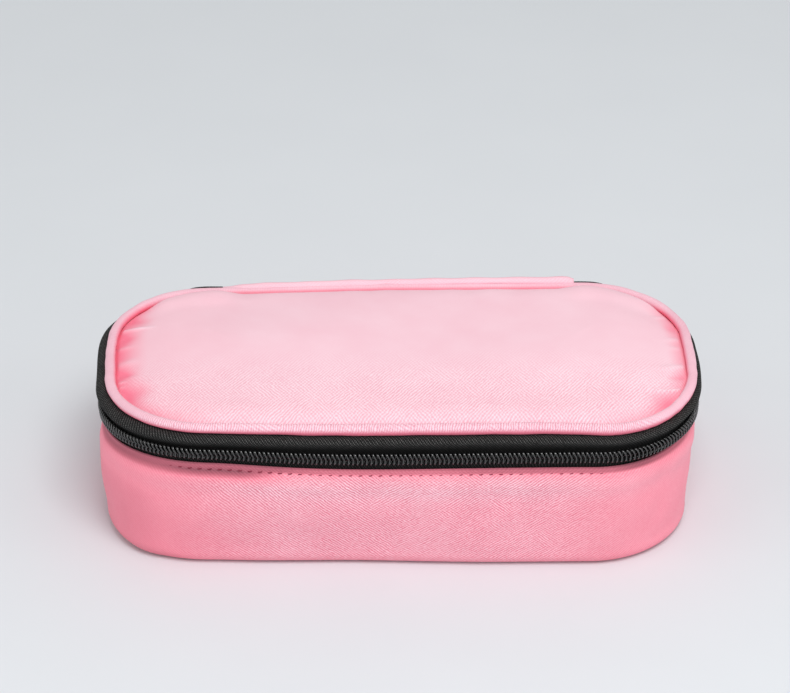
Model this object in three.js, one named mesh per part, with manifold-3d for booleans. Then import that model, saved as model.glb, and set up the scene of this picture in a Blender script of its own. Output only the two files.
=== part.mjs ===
// Soft zipped cooling case for insulin pens.
// A padded tub and a padded lid meet at a coil zipper and are joined by a strip of cloth at the back.
// Millimetres, +Z up. The origin is on the table, under the middle of the tub.
// The front faces -Y. Insets are measured inwards from the outer face of the zipper.

import * as THREE from 'three';
import { LoftGeometry } from 'three/addons/geometries/LoftGeometry.js';
import { mergeVertices } from 'three/addons/utils/BufferGeometryUtils.js';
import Module from 'manifold-3d';

// Overall sizes
const CASE_LENGTH = 205; // left to right, over the zipper
const CASE_DEPTH = 100; // front to back, over the zipper
const CORNER_RADIUS = 38; // at the outer face of the zipper
const ZIP_HEIGHT = 44.5; // where the two rows of teeth meet, above the table

// Sewn layers
const SEAM_GAP = 0.2; // between layers that are sewn or pressed together
const SHELL_WALL = 1.3; // twill on its stiffened backing
const SHELL_INSET = 0.7; // rim of the tub behind the face of the zipper
const BOTTOM_RADIUS = 5; // rounding between the wall and the floor
const INNER_BEND = 0.8; // tightest inside bend of a layer
const BOTTOM_TAPER = 1.7; // how much further in the wall is above that rounding
const RIM_DROP = 4; // rim of the tub below the zip line
const FOAM_WALL = 4; // foam in the tub
const LINING_WALL = 0.8; // foil-faced film
const BINDING_WALL = 0.8; // folded binding tape
const BINDING_LEG = 6; // how far the binding reaches down the foam
const BINDING_CLEARANCE = 0.9; // top of the binding below the rim of the tub

// Zipper
const TAPE_WALL = 0.8;
const TAPE_EDGE = 1.4; // from the zip line to the edge of each tape
const TAPE_TUCK = 8; // tape hidden behind the rim of the tub
const TAPE_BEND = 1.6; // radius of the fold where the tape of the lid turns in
const TAPE_LEAN = 1.6; // how far the tape of the lid leans out up to that fold
const COIL_WALL = 2; // how far a coil stands proud of its tape
const CHAIN_HEIGHT = 3.9; // both coils, closed
const TOOTH_PITCH = 1.5;
const TOOTH_DEPTH = 1; // how far one row reaches into the other
const TOOTH_GAP = 0.4; // height of the gap between the rows
const TOOTH_RIDGE = 0.55; // depth of the grooves between the turns of a coil
const COIL_END = 3; // bare tape at each end
const PARTING = 1.2; // how far each coil stands off the zip line past the slider

// Hinge at the back
const HINGE_END_GAP = 3; // straight zipper between a rear corner and the hinge strip
const HINGE_WALL = 1;
const HINGE_BULGE = 1.2; // how far the strip bows out between its ends
const HINGE_TOP_RISE = 2.2; // top of the strip above the middle of the piping

// Lid
const PIPING_RADIUS = 1.75;
const PIPING_INSET = 4.2; // middle of the piping cord
const PIPING_RISE = 9.9; // middle of the piping cord above the zip line
const PANEL_WALL = 1.2; // cloth of the lid
const PANEL_EDGE_DROP = 0.55; // edge of the lid cloth below the middle of the piping
const PANEL_CROWN = 3.6; // rise of the padded lid from its groove
const PANEL_CROWN_RUN = 14; // from the groove to where the lid levels out
const LID_FOAM_WALL = 4.2;
const LID_SEAM_DEPTH = 4; // turned-down edge of the lid cloth

// Pockets and straps
const PEN_BORE = 17.5; // width of one pen loop
const PEN_LOOP_HEIGHT = 16.8; // height of one pen loop
const STRAP_WALL = 1;
const STRAP_WIDTH = 20;
const STRAP_LAND = 2.6; // sewn-down stretch between two loops
const STRAP_FROM_END = 58; // middle of a strap from the end of the case
const STRAP_END_ROOM = 2; // bare lining beyond each end of a strap
const PACK_END_ROOM = 27.5; // from the end of the gel pack to the end of the case
const PACK_SIDE_ROOM = 17; // from the side of the gel pack to the front or the back
const PACK_THICKNESS = 11;
const PACK_CORNER = 9;
const PACK_SEAL = 4.5; // welded rim of the gel pack
const PACK_SEAL_WALL = 1;
const PACK_SHOULDER = 10; // from the weld to where each face of the gel pack levels out
const POCKET_WALL = 0.8;
const POCKET_MARGIN = 3.4; // slack of the net round the gel pack
const POCKET_FLARE = 5; // how much wider the net is where it is sewn to the lid
const BAND_WIDTH = 8; // elastic along the mouth of the net
const BAND_WALL = 1;

// Slider and pull
const SLIDER_PARK_DEGREES = 48; // round the rear right corner, from its start at the side
const SLIDER_LENGTH = 11;
const SLIDER_WIDTH = 7.6;
const SLIDER_CORNER = 1.8;
const SLIDER_PLATE = 1.1;
const SLIDER_CLEARANCE = 0.35; // to the face of the coils
const SLIDER_CHORD_ROOM = 0.45; // room for the tape to curve inside the straight slider
const SLIDER_LIP = 0.55;
const WEDGE_WIDTH = 1.3; // post that parts the two coils
const WEDGE_LENGTH = 4.2;
const BRIDGE_LENGTH = 6.8;
const BRIDGE_WIDTH = 1.8;
const BRIDGE_BAR = 0.9;
const PULL_LENGTH = 15; // from its axis to its tip
const PULL_WIDTH = 6.6;
const PULL_TIP_WIDTH = 5;
const PULL_WALL = 1.2;
const PULL_EYE_HOLE = 1.2; // radius of the hole near the tip

// Resolution of the curved faces
const CORNER_STEPS = 7; // facets in each rounded corner
const FILLET_STEPS = 3;
const WALL_STEPS = 3;
const CROWN_STEPS = 4;
const PIPING_SIDES = 8;
const LOOP_STEPS = 6;
const ROUND_STEPS = 12;
const SMALLEST_RADIUS = 1;
const WELD = 1e-4; // points closer than this are one point
const CUT = 1; // how far a cutting solid reaches past what it cuts

// Places worked out from the sizes
const halfLength = CASE_LENGTH / 2;
const halfDepth = CASE_DEPTH / 2;
const cornerX = halfLength - CORNER_RADIUS;
const cornerY = halfDepth - CORNER_RADIUS;
const hingeHalf = cornerX - HINGE_END_GAP;
const rimZ = ZIP_HEIGHT - RIM_DROP;
const tapeInset = COIL_WALL + SEAM_GAP;
const tapeBack = tapeInset + TAPE_WALL;
const pipingZ = ZIP_HEIGHT + PIPING_RISE;
const grooveInset = PIPING_INSET + PIPING_RADIUS + SEAM_GAP;

const wasm = await Module();
wasm.setup();

// A point list for the rounded rectangle of the given half sizes, at one height.
function roundedRectangle(halfX, halfY, radius, z) {
  const points = [];
  const corners = [[1, 1], [-1, 1], [-1, -1], [1, -1]];
  corners.forEach(([sideX, sideY], quarter) => {
    for (let step = 0; step <= CORNER_STEPS; step++) {
      const angle = ((quarter + step / CORNER_STEPS) * Math.PI) / 2;
      const x = sideX * (halfX - radius) + radius * Math.cos(angle);
      const y = sideY * (halfY - radius) + radius * Math.sin(angle);
      points.push(new THREE.Vector3(x, y, z));
    }
  });
  return points;
}

// The outline of the case at an inset and a height.
function outline([inset, z]) {
  const radius = Math.max(CORNER_RADIUS - inset, SMALLEST_RADIUS);
  return roundedRectangle(halfLength - inset, halfDepth - inset, radius, z);
}

// A solid whose sections run from one flat cap to the other.
function capped(sections) {
  return new LoftGeometry(sections, { capStart: true, capEnd: true });
}

// A slab or a block: its profile of [inset, height] goes up its side, from cap to cap.
function block(profile) {
  return capped(profile.map(outline));
}

// A closed ring round the case: its profile goes up its outer side and down its inner side.
function ring(profile) {
  return new LoftGeometry([...profile, profile[0]].map(outline));
}

// Points of a quarter circle or ellipse in a profile, from one axis to the other.
function quarter(steps, place) {
  return Array.from({ length: steps + 1 }, (_, step) => {
    const angle = ((step / steps) * Math.PI) / 2;
    return place(Math.sin(angle), Math.cos(angle));
  });
}

// One solid with another cut out of it.
function hollow(outside, inside) {
  return geometryOf(solid(outside).subtract(solid(inside)));
}

// The layers of the tub are nested: each keeps its offset from the outside of the shell.
function tub({ offset, wall, rimInset, top }) {
  const radius = Math.max(BOTTOM_RADIUS - offset, wall + INNER_BEND);
  const footInset = SHELL_INSET + BOTTOM_TAPER + offset;
  const centreInset = footInset + radius;
  const centreZ = offset + radius;
  const fillet = (size) =>
    quarter(FILLET_STEPS, (sine, cosine) => [centreInset - size * sine, centreZ - size * cosine]);
  const side = (extra) =>
    Array.from({ length: WALL_STEPS }, (_, step) => {
      const share = (step + 1) / WALL_STEPS;
      const bow = (1 - share) ** 2;
      return [rimInset + (footInset - rimInset) * bow + extra, centreZ + (top - centreZ) * share];
    });
  const outside = [...fillet(radius), ...side(0)];
  const inside = [...fillet(radius - wall), ...side(wall), [rimInset + wall, top + CUT]];
  return hollow(block(outside), block(inside));
}

// The path of the zipper: from the left end of the hinge, round the front, to the right end.
const zipPath = new THREE.Path()
  .moveTo(-hingeHalf, halfDepth)
  .lineTo(-cornerX, halfDepth)
  .absarc(-cornerX, cornerY, CORNER_RADIUS, Math.PI / 2, Math.PI)
  .absarc(-cornerX, -cornerY, CORNER_RADIUS, Math.PI, 1.5 * Math.PI)
  .absarc(cornerX, -cornerY, CORNER_RADIUS, 1.5 * Math.PI, 2 * Math.PI)
  .absarc(cornerX, cornerY, CORNER_RADIUS, 0, Math.PI / 2)
  .lineTo(hingeHalf, halfDepth);
const zipEnds = zipPath.getCurveLengths();
const zipLength = zipPath.getLength();
const cornerRun = (CORNER_RADIUS * Math.PI) / 2;
const sliderDistance =
  zipLength - HINGE_END_GAP - cornerRun + CORNER_RADIUS * THREE.MathUtils.degToRad(SLIDER_PARK_DEGREES);

// The point on the face of the zipper at a distance along it, and the direction out of the case.
function zipFrame(distance) {
  const found = zipEnds.findIndex((end) => distance <= end + WELD);
  const index = found < 0 ? zipEnds.length - 1 : found;
  const before = index ? zipEnds[index - 1] : 0;
  const curve = zipPath.curves[index];
  const share = (distance - before) / (zipEnds[index] - before);
  const point = curve.getPointAt(THREE.MathUtils.clamp(share, 0, 1));
  if (curve.isEllipseCurve) {
    const out = point.clone().sub(new THREE.Vector2(curve.aX, curve.aY)).normalize();
    return { point, out };
  }
  const heading = curve.getTangent(0);
  return { point, out: new THREE.Vector2(heading.y, -heading.x) };
}

// One section of a strip along the zipper: a profile of [inset, height] placed at a frame.
function sectionAt({ point, out }, profile) {
  return profile.map(
    ([inset, z]) => new THREE.Vector3(point.x - out.x * inset, point.y - out.y * inset, z),
  );
}

// A strip of constant profile along the whole zipper.
function alongZip(profile) {
  const distances = [0];
  zipPath.curves.forEach((curve, index) => {
    const before = distances[distances.length - 1];
    const run = zipEnds[index] - before;
    const steps = curve.isEllipseCurve ? CORNER_STEPS : 1;
    if (run > SEAM_GAP) {
      for (let step = 1; step <= steps; step++) distances.push(before + (run * step) / steps);
    }
  });
  return capped(distances.map((distance) => sectionAt(zipFrame(distance), profile)));
}

// A strip of constant profile along the straight back, between the two ends of the zipper.
function alongHinge(profile) {
  const out = new THREE.Vector2(0, 1);
  const ends = [hingeHalf - SEAM_GAP, SEAM_GAP - hingeHalf];
  return capped(ends.map((x) => sectionAt({ point: new THREE.Vector2(x, halfDepth), out }, profile)));
}

// A profile that turns a line of [inset, height] points into a sheet of even thickness.
function sheet(line, wall) {
  const back = line.map(([inset, z], index) => {
    const [beforeInset, beforeZ] = line[Math.max(index - 1, 0)];
    const [afterInset, afterZ] = line[Math.min(index + 1, line.length - 1)];
    const normal = new THREE.Vector2(afterZ - beforeZ, beforeInset - afterInset).normalize();
    return [inset + normal.x * wall, z + normal.y * wall];
  });
  return [...back, ...line.toReversed()];
}

// A geometry as a solid that can be joined and cut, and back again.
function solid(geometry) {
  const bare = new THREE.BufferGeometry().setAttribute('position', geometry.attributes.position);
  const merged = mergeVertices(bare.setIndex(geometry.index), WELD);
  const vertProperties = merged.attributes.position.array;
  const triVerts = new Uint32Array(merged.index.array);
  return new wasm.Manifold(new wasm.Mesh({ numProp: 3, vertProperties, triVerts }));
}

function geometryOf(manifold) {
  const { vertProperties, triVerts } = manifold.getMesh();
  const position = new THREE.BufferAttribute(new Float32Array(vertProperties), 3);
  return new THREE.BufferGeometry()
    .setAttribute('position', position)
    .setIndex(new THREE.BufferAttribute(new Uint32Array(triVerts), 1));
}

// A box between two corners.
function box(low, high) {
  const size = new THREE.Vector3().subVectors(high, low);
  const middle = new THREE.Vector3().addVectors(low, high).multiplyScalar(0.5);
  return new THREE.BoxGeometry(size.x, size.y, size.z).translate(middle.x, middle.y, middle.z);
}

function finish(color, roughness, metalness = 0) {
  return new THREE.MeshStandardMaterial({ color, roughness, metalness });
}

function part(name, geometry, material) {
  const mesh = new THREE.Mesh(geometry, material);
  mesh.name = name;
  return mesh;
}

const pinkTwill = () => finish(0xf79fb4, 0.62);
const blackTape = () => finish(0x1f1f20, 0.85);
const blackNylon = () => finish(0x141415, 0.4);
const silverFoil = () => finish(0xc9ccd0, 0.3, 0.8);
const whiteFoam = () => finish(0xf1efea, 0.9);
const blackMetal = () => finish(0x1b1b1d, 0.35, 0.7);

// Layers of the tub
const foamOffset = SHELL_WALL + SEAM_GAP;
const liningOffset = foamOffset + FOAM_WALL + SEAM_GAP;
const bindingOutset = tapeBack + SEAM_GAP;
const foamRimInset = bindingOutset + BINDING_WALL + SEAM_GAP;
const liningRimInset = foamRimInset + FOAM_WALL + SEAM_GAP;
const bindingTop = rimZ - BINDING_CLEARANCE;
const foamTop = bindingTop - BINDING_WALL - SEAM_GAP;
const floorZ = liningOffset + LINING_WALL;

function baseShell() {
  return tub({ offset: 0, wall: SHELL_WALL, rimInset: SHELL_INSET, top: rimZ });
}

function baseInsulation() {
  return tub({ offset: foamOffset, wall: FOAM_WALL, rimInset: foamRimInset, top: foamTop });
}

function baseLining() {
  return tub({ offset: liningOffset, wall: LINING_WALL, rimInset: liningRimInset, top: foamTop });
}

// A folded tape that caps the edges of the foam and the lining.
function baseRimBinding() {
  const foot = bindingTop - BINDING_LEG;
  const channel = foamRimInset - SEAM_GAP;
  const inner = liningRimInset + LINING_WALL + SEAM_GAP;
  return ring([
    [bindingOutset, foot],
    [bindingOutset, bindingTop],
    [inner + BINDING_WALL, bindingTop],
    [inner + BINDING_WALL, foot],
    [inner, foot],
    [inner, bindingTop - BINDING_WALL],
    [channel, bindingTop - BINDING_WALL],
    [channel, foot],
  ]);
}

// The tape of the tub stands behind its rim, the tape of the lid leans out and folds in under the piping.
const tapeTurnZ = pipingZ - PIPING_RADIUS - SEAM_GAP;
const tapeFoot = rimZ - TAPE_TUCK;
const partedTop = ZIP_HEIGHT + CHAIN_HEIGHT / 2 + PARTING;
const lidTapeLine = [
  [tapeInset, ZIP_HEIGHT + TAPE_EDGE],
  [tapeInset, partedTop],
  ...quarter(FILLET_STEPS, (sine, cosine) => [
    tapeInset - TAPE_LEAN + TAPE_BEND * (1 - cosine),
    tapeTurnZ - TAPE_BEND * (1 - sine),
  ]),
  [grooveInset - SEAM_GAP, tapeTurnZ],
];

function zipperTapeBase() {
  return alongZip(sheet([[tapeInset, tapeFoot], [tapeInset, ZIP_HEIGHT - TAPE_EDGE]], TAPE_WALL));
}

function zipperTapeLid() {
  return alongZip(sheet(lidTapeLine, TAPE_WALL));
}

// One row of teeth: a ridged coil whose edge zigzags into the other row.
// Past the slider the two rows stand apart. Side is 1 for the lid and -1 for the tub.
function zipperCoil(side) {
  const usable = zipLength - 2 * COIL_END;
  const halves = 2 * Math.floor(usable / TOOTH_PITCH);
  const sections = [];
  for (let half = 0; half <= halves; half++) {
    const distance = COIL_END + (half * TOOTH_PITCH) / 2;
    const wave = half % 2 ? -1 : 1;
    const past = distance - sliderDistance + SLIDER_LENGTH / 2;
    const apart = PARTING * THREE.MathUtils.smoothstep(past, 0, SLIDER_LENGTH / 2);
    const middle = ZIP_HEIGHT + side * apart;
    const ridge = wave === side ? TOOTH_RIDGE : 0;
    const profile = [
      [COIL_WALL, middle + (side * CHAIN_HEIGHT) / 2],
      [COIL_WALL / 2, middle + (wave * TOOTH_DEPTH + side * TOOTH_GAP) / 2],
      [ridge, middle + (side * CHAIN_HEIGHT) / 4],
    ];
    if (side > 0) profile.reverse();
    sections.push(sectionAt(zipFrame(distance), profile));
  }
  return capped(sections);
}

// The strip of cloth that joins the lid to the tub. It bows out and ends behind the piping.
function hingeStrip() {
  const steps = 2 * FILLET_STEPS;
  const top = pipingZ + HINGE_TOP_RISE;
  const topInset = PIPING_INSET - PIPING_RADIUS - SEAM_GAP - HINGE_WALL;
  const bowed = Array.from({ length: steps + 1 }, (_, step) => {
    const share = step / steps;
    const straight = THREE.MathUtils.lerp(tapeInset, topInset, share);
    return [straight - HINGE_BULGE * Math.sin(Math.PI * share), THREE.MathUtils.lerp(rimZ, top, share)];
  });
  return alongHinge(sheet([[tapeInset, tapeFoot], ...bowed], HINGE_WALL));
}

// Lid
const lidSeamZ = pipingZ - PANEL_EDGE_DROP;
const seamFoot = lidSeamZ - LID_SEAM_DEPTH;
const seamBack = grooveInset + PANEL_WALL;
const lidFoamInset = seamBack + SEAM_GAP;
const lidLiningTop = seamFoot + 2 * SEAM_GAP + BINDING_WALL;
const lidLiningZ = lidLiningTop - LINING_WALL;
const lidBindingFoot = seamFoot - SEAM_GAP - BINDING_WALL;

// Points over the padded lid, from the groove beside the piping to the level middle.
function crown(inset, z, rise) {
  return quarter(CROWN_STEPS, (sine, cosine) => [inset + PANEL_CROWN_RUN * (1 - cosine), z + rise * sine]);
}

// The cloth of the lid: a shallow upturned tray whose edge is turned down into the seam.
function lidPanel() {
  const over = [[grooveInset, seamFoot], ...crown(grooveInset, lidSeamZ, PANEL_CROWN)];
  const under = [[seamBack, seamFoot - CUT], ...crown(seamBack, lidSeamZ - PANEL_WALL, PANEL_CROWN)];
  return hollow(block(over), block(under));
}

function lidPiping() {
  const profile = Array.from({ length: PIPING_SIDES }, (_, step) => {
    const angle = ((step + 0.5) / PIPING_SIDES) * 2 * Math.PI;
    return [PIPING_INSET - PIPING_RADIUS * Math.cos(angle), pipingZ + PIPING_RADIUS * Math.sin(angle)];
  });
  return ring(profile);
}

function lidInsulation() {
  const foot = lidLiningTop + SEAM_GAP;
  const edge = lidSeamZ - PANEL_WALL - SEAM_GAP;
  const rise = foot + LID_FOAM_WALL - edge;
  return block([[lidFoamInset, foot], ...crown(lidFoamInset, edge, rise)]);
}

function lidLining() {
  return block([[lidFoamInset, lidLiningZ], [lidFoamInset, lidLiningTop]]);
}

// A folded tape round the raw edges of the lid seam.
function lidRimBinding() {
  const outer = grooveInset - SEAM_GAP - BINDING_WALL;
  const inner = seamBack + SEAM_GAP + BINDING_WALL;
  const top = lidLiningZ - SEAM_GAP;
  return ring([
    [outer, lidBindingFoot],
    [outer, top],
    [outer + BINDING_WALL, top],
    [outer + BINDING_WALL, lidBindingFoot + BINDING_WALL],
    [inner, lidBindingFoot + BINDING_WALL],
    [inner, top],
    [inner + BINDING_WALL, top],
    [inner + BINDING_WALL, lidBindingFoot],
  ]);
}

// A band of lining cloth inside the hinge, from the binding of the tub to the binding of the lid.
function hingeLining() {
  const inset = grooveInset - SEAM_GAP;
  return alongHinge(sheet([[inset, bindingTop + SEAM_GAP], [inset, lidBindingFoot - SEAM_GAP]], HINGE_WALL));
}

// An elastic band sewn down between loops that each hold one pen.
function penStrap(middleX) {
  const floorHalf = halfDepth - SHELL_INSET - BOTTOM_TAPER - floorZ;
  const room = 2 * (floorHalf - STRAP_END_ROOM);
  const pitch = PEN_BORE + STRAP_LAND;
  const loops = Math.floor((room - STRAP_LAND) / pitch);
  const start = -(loops * pitch + STRAP_LAND) / 2;
  const end = -start;
  const inside = PEN_BORE / 2;
  const spring = PEN_LOOP_HEIGHT - inside;
  const outside = inside + STRAP_WALL;
  const shape = new THREE.Shape().moveTo(start, 0);
  for (let loop = 0; loop < loops; loop++) {
    const middle = start + STRAP_LAND + inside + loop * pitch;
    shape.lineTo(middle - inside, 0);
    shape.absarc(middle, spring, inside, Math.PI, 0, true);
    shape.lineTo(middle + inside, 0);
  }
  shape.lineTo(end, 0);
  shape.lineTo(end, STRAP_WALL);
  for (let loop = loops - 1; loop >= 0; loop--) {
    const middle = start + STRAP_LAND + inside + loop * pitch;
    shape.lineTo(middle + outside, STRAP_WALL);
    shape.absarc(middle, spring, outside, 0, Math.PI, false);
    shape.lineTo(middle - outside, STRAP_WALL);
  }
  shape.lineTo(start, STRAP_WALL);
  shape.closePath();
  const options = { depth: STRAP_WIDTH, bevelEnabled: false, curveSegments: LOOP_STEPS };
  return new THREE.ExtrudeGeometry(shape, options)
    .rotateX(Math.PI / 2)
    .rotateZ(Math.PI / 2)
    .translate(middleX - STRAP_WIDTH / 2, 0, floorZ + SEAM_GAP);
}

// Gel pack and its net pocket, under the lining of the lid
const packHalfLength = halfLength - PACK_END_ROOM;
const packHalfDepth = halfDepth - PACK_SIDE_ROOM;
const packTop = lidLiningZ - SEAM_GAP;
const packMiddle = packTop - PACK_THICKNESS / 2;
const packFoot = packTop - PACK_THICKNESS;
const pocketTop = lidLiningZ - SEAM_GAP;
const pocketFloor = packFoot - 2 * SEAM_GAP;
const pocketMouthY = -packHalfDepth;

function packSection([inset, z]) {
  const radius = Math.max(PACK_CORNER - inset, SMALLEST_RADIUS);
  return roundedRectangle(packHalfLength - inset, packHalfDepth - inset, radius, z);
}

// A pouch of gel: two swollen faces and a flat welded rim.
function coolPack() {
  const half = (PACK_THICKNESS - PACK_SEAL_WALL) / 2;
  const face = quarter(FILLET_STEPS, (sine, cosine) => [
    PACK_SEAL + PACK_SHOULDER * (1 - cosine),
    PACK_SEAL_WALL / 2 + half * sine,
  ]);
  const upper = face.map(([inset, rise]) => [inset, packMiddle + rise]);
  const lower = face.map(([inset, rise]) => [inset, packMiddle - rise]).reverse();
  const rim = [[0, packMiddle - PACK_SEAL_WALL / 2], [0, packMiddle + PACK_SEAL_WALL / 2]];
  return capped([...lower, ...rim, ...upper].map(packSection));
}

// The net hangs round the pack like a shallow tray, sewn to the lining on three sides.
function meshPocket() {
  const section = (spread, z) =>
    roundedRectangle(
      packHalfLength + POCKET_MARGIN + spread,
      packHalfDepth + POCKET_MARGIN + spread / 2,
      PACK_CORNER + POCKET_MARGIN + spread,
      z,
    );
  const hang = pocketTop - pocketFloor;
  const side = (extra) =>
    quarter(FILLET_STEPS, (sine, cosine) =>
      section(POCKET_FLARE * (1 - cosine) - extra, pocketFloor + POCKET_WALL + (hang - POCKET_WALL) * sine),
    );
  const floorSpread = -POCKET_MARGIN;
  const outside = [section(floorSpread, pocketFloor - POCKET_WALL), ...side(0)];
  const inside = [section(floorSpread - POCKET_WALL, pocketFloor), ...side(POCKET_WALL)];
  inside.push(section(POCKET_FLARE - POCKET_WALL, pocketTop + CUT));
  const mouth = box(
    new THREE.Vector3(-packHalfLength, -CASE_DEPTH, pocketFloor - CASE_DEPTH),
    new THREE.Vector3(packHalfLength, pocketMouthY, pocketTop + CASE_DEPTH),
  );
  return hollow(hollow(capped(outside), capped(inside)), mouth);
}

// Elastic along the free edge of the net.
function meshPocketBand() {
  const y = pocketMouthY - SEAM_GAP;
  const x = packHalfLength - SEAM_GAP;
  const z = pocketFloor - POCKET_WALL;
  return box(new THREE.Vector3(-x, y - BAND_WALL, z), new THREE.Vector3(x, y, z + BAND_WIDTH));
}

// The slider is drawn along its own travel: +X towards the closed teeth, +Y out of the case.
const plateFace = SLIDER_CLEARANCE;
const plateTop = plateFace + SLIDER_PLATE;
const innerFace = -(tapeBack + SLIDER_CHORD_ROOM + SLIDER_CLEARANCE);
const pullAxisY = plateTop + SLIDER_CLEARANCE + PULL_WALL / 2;
const bridgeInside = pullAxisY + PULL_WALL / 2 + SLIDER_CLEARANCE;

// A flat shape in the plane of the zipper, between two depths.
function plate(shape, low, high) {
  const options = { depth: high - low, bevelEnabled: false, curveSegments: ROUND_STEPS / 4 };
  return new THREE.ExtrudeGeometry(shape, options).rotateX(Math.PI / 2).translate(0, high, 0);
}

function roundedPlate(length, width, radius) {
  const x = length / 2;
  const z = width / 2;
  return new THREE.Shape()
    .moveTo(-x + radius, -z)
    .absarc(x - radius, -z + radius, radius, -Math.PI / 2, 0)
    .absarc(x - radius, z - radius, radius, 0, Math.PI / 2)
    .absarc(-x + radius, z - radius, radius, Math.PI / 2, Math.PI)
    .absarc(-x + radius, -z + radius, radius, Math.PI, 1.5 * Math.PI);
}

// Two plates joined by the wedge that parts the coils, a lip under the lower coil and a bridge.
function zipperSlider() {
  const face = roundedPlate(SLIDER_LENGTH, SLIDER_WIDTH, SLIDER_CORNER);
  const outer = solid(plate(face, plateFace, plateTop));
  const inner = solid(plate(face, innerFace - SLIDER_PLATE, innerFace));
  const mouth = -SLIDER_LENGTH / 2;
  const nose = new THREE.Shape()
    .moveTo(mouth, -WEDGE_WIDTH / 2)
    .lineTo(mouth + WEDGE_LENGTH / 2, -WEDGE_WIDTH / 2)
    .lineTo(mouth + WEDGE_LENGTH, 0)
    .lineTo(mouth + WEDGE_LENGTH / 2, WEDGE_WIDTH / 2)
    .lineTo(mouth, WEDGE_WIDTH / 2);
  const wedge = solid(plate(nose, innerFace - SLIDER_PLATE / 2, plateTop - SLIDER_PLATE / 2));
  const lipEnd = SLIDER_LENGTH / 2 - SLIDER_CORNER;
  const lip = solid(
    box(
      new THREE.Vector3(-lipEnd, -COIL_WALL / 2, -SLIDER_WIDTH / 2),
      new THREE.Vector3(lipEnd, plateTop - SLIDER_PLATE / 2, -SLIDER_WIDTH / 2 + SLIDER_LIP),
    ),
  );
  const half = BRIDGE_LENGTH / 2;
  const foot = plateTop - SLIDER_PLATE / 2;
  const top = bridgeInside + BRIDGE_BAR;
  const arch = new THREE.Shape()
    .moveTo(-half, foot)
    .lineTo(-half + BRIDGE_BAR, top)
    .lineTo(half - BRIDGE_BAR, top)
    .lineTo(half, foot)
    .lineTo(half - BRIDGE_BAR, foot)
    .lineTo(half - 2 * BRIDGE_BAR, bridgeInside)
    .lineTo(-half + 2 * BRIDGE_BAR, bridgeInside)
    .lineTo(-half + BRIDGE_BAR, foot);
  const bridge = new THREE.ExtrudeGeometry(arch, { depth: BRIDGE_WIDTH, bevelEnabled: false });
  bridge.translate(0, 0, -BRIDGE_WIDTH / 2);
  return geometryOf(outer.add(inner).add(wedge).add(lip).add(solid(bridge)));
}

// A flat tab with a window that goes over the bridge and a small hole near its tip.
function zipperPull() {
  const bar = PULL_WALL / 2;
  const windowEnd = BRIDGE_LENGTH / 2 + 2 * SLIDER_CLEARANCE;
  const windowHalf = BRIDGE_WIDTH / 2 + SLIDER_CLEARANCE;
  const wide = PULL_WIDTH / 2;
  const narrow = PULL_TIP_WIDTH / 2;
  const tip = PULL_LENGTH - narrow;
  const tab = new THREE.Shape()
    .moveTo(bar, -windowHalf - PULL_WALL)
    .lineTo(bar, windowHalf + PULL_WALL)
    .lineTo(-bar, windowHalf + PULL_WALL)
    .lineTo(-windowEnd, wide)
    .lineTo(-windowEnd - PULL_WALL, wide)
    .lineTo(-tip, narrow)
    .absarc(-tip, 0, narrow, Math.PI / 2, 1.5 * Math.PI)
    .lineTo(-windowEnd - PULL_WALL, -wide)
    .lineTo(-windowEnd, -wide)
    .lineTo(-bar, -windowHalf - PULL_WALL);
  const gap = new THREE.Path()
    .moveTo(-bar, -windowHalf)
    .lineTo(-bar, windowHalf)
    .lineTo(-windowEnd, windowHalf)
    .lineTo(-windowEnd, -windowHalf);
  tab.holes.push(gap, new THREE.Path().absarc(-tip, 0, PULL_EYE_HOLE, 0, 2 * Math.PI));
  return plate(tab, pullAxisY - PULL_WALL / 2, pullAxisY + PULL_WALL / 2);
}

// The tub, with what is sewn into it
const base = new THREE.Group();
base.add(
  part('base_shell', baseShell(), pinkTwill()),
  part('base_insulation', baseInsulation(), whiteFoam()),
  part('base_lining', baseLining(), silverFoil()),
  part('base_rim_binding', baseRimBinding(), blackTape()),
  part('zipper_tape_base', zipperTapeBase(), blackTape()),
  part('zipper_coil_base', zipperCoil(-1), blackNylon()),
  part('pen_strap_left', penStrap(STRAP_FROM_END - halfLength), blackTape()),
  part('pen_strap_right', penStrap(halfLength - STRAP_FROM_END), blackTape()),
  part('hinge_strip', hingeStrip(), pinkTwill()),
  part('hinge_lining', hingeLining(), blackTape()),
);

// The lid, with what is sewn into it
const lid = new THREE.Group();
lid.add(
  part('lid_panel', lidPanel(), pinkTwill()),
  part('lid_piping', lidPiping(), pinkTwill()),
  part('lid_insulation', lidInsulation(), whiteFoam()),
  part('lid_lining', lidLining(), silverFoil()),
  part('lid_rim_binding', lidRimBinding(), blackTape()),
  part('zipper_tape_lid', zipperTapeLid(), blackTape()),
  part('zipper_coil_lid', zipperCoil(1), blackNylon()),
  part('mesh_pocket', meshPocket(), finish(0x2a2a2c, 0.8)),
  part('mesh_pocket_band', meshPocketBand(), blackTape()),
  part('cool_pack', coolPack(), finish(0x9cc7e6, 0.35)),
);

// The slider and its pull, parked on the rear right corner
const parked = zipFrame(sliderDistance);
const slider = new THREE.Group();
slider.position.set(parked.point.x, parked.point.y, ZIP_HEIGHT);
slider.rotation.z = Math.atan2(parked.out.y, parked.out.x) - Math.PI / 2;
slider.add(
  part('zipper_slider', zipperSlider(), blackMetal()),
  part('zipper_pull', zipperPull(), blackMetal()),
);

const coolingCase = new THREE.Group();
coolingCase.name = 'insulin_cooling_case';
coolingCase.add(base, lid, slider);

export default coolingCase;
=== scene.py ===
"""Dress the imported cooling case: padded cloth, coil zipper, linings, pen loops and gel pouch.

Each class below is one sewn sub-assembly. Sizes are millimetres in the part's own frame, and
the meshes are written in metres. Insets run inwards from the outer face of the zipper.
"""

import logging
import math
from dataclasses import dataclass, field, replace
from enum import Enum
from typing import Any, Callable, Optional, Sequence, Union

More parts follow.
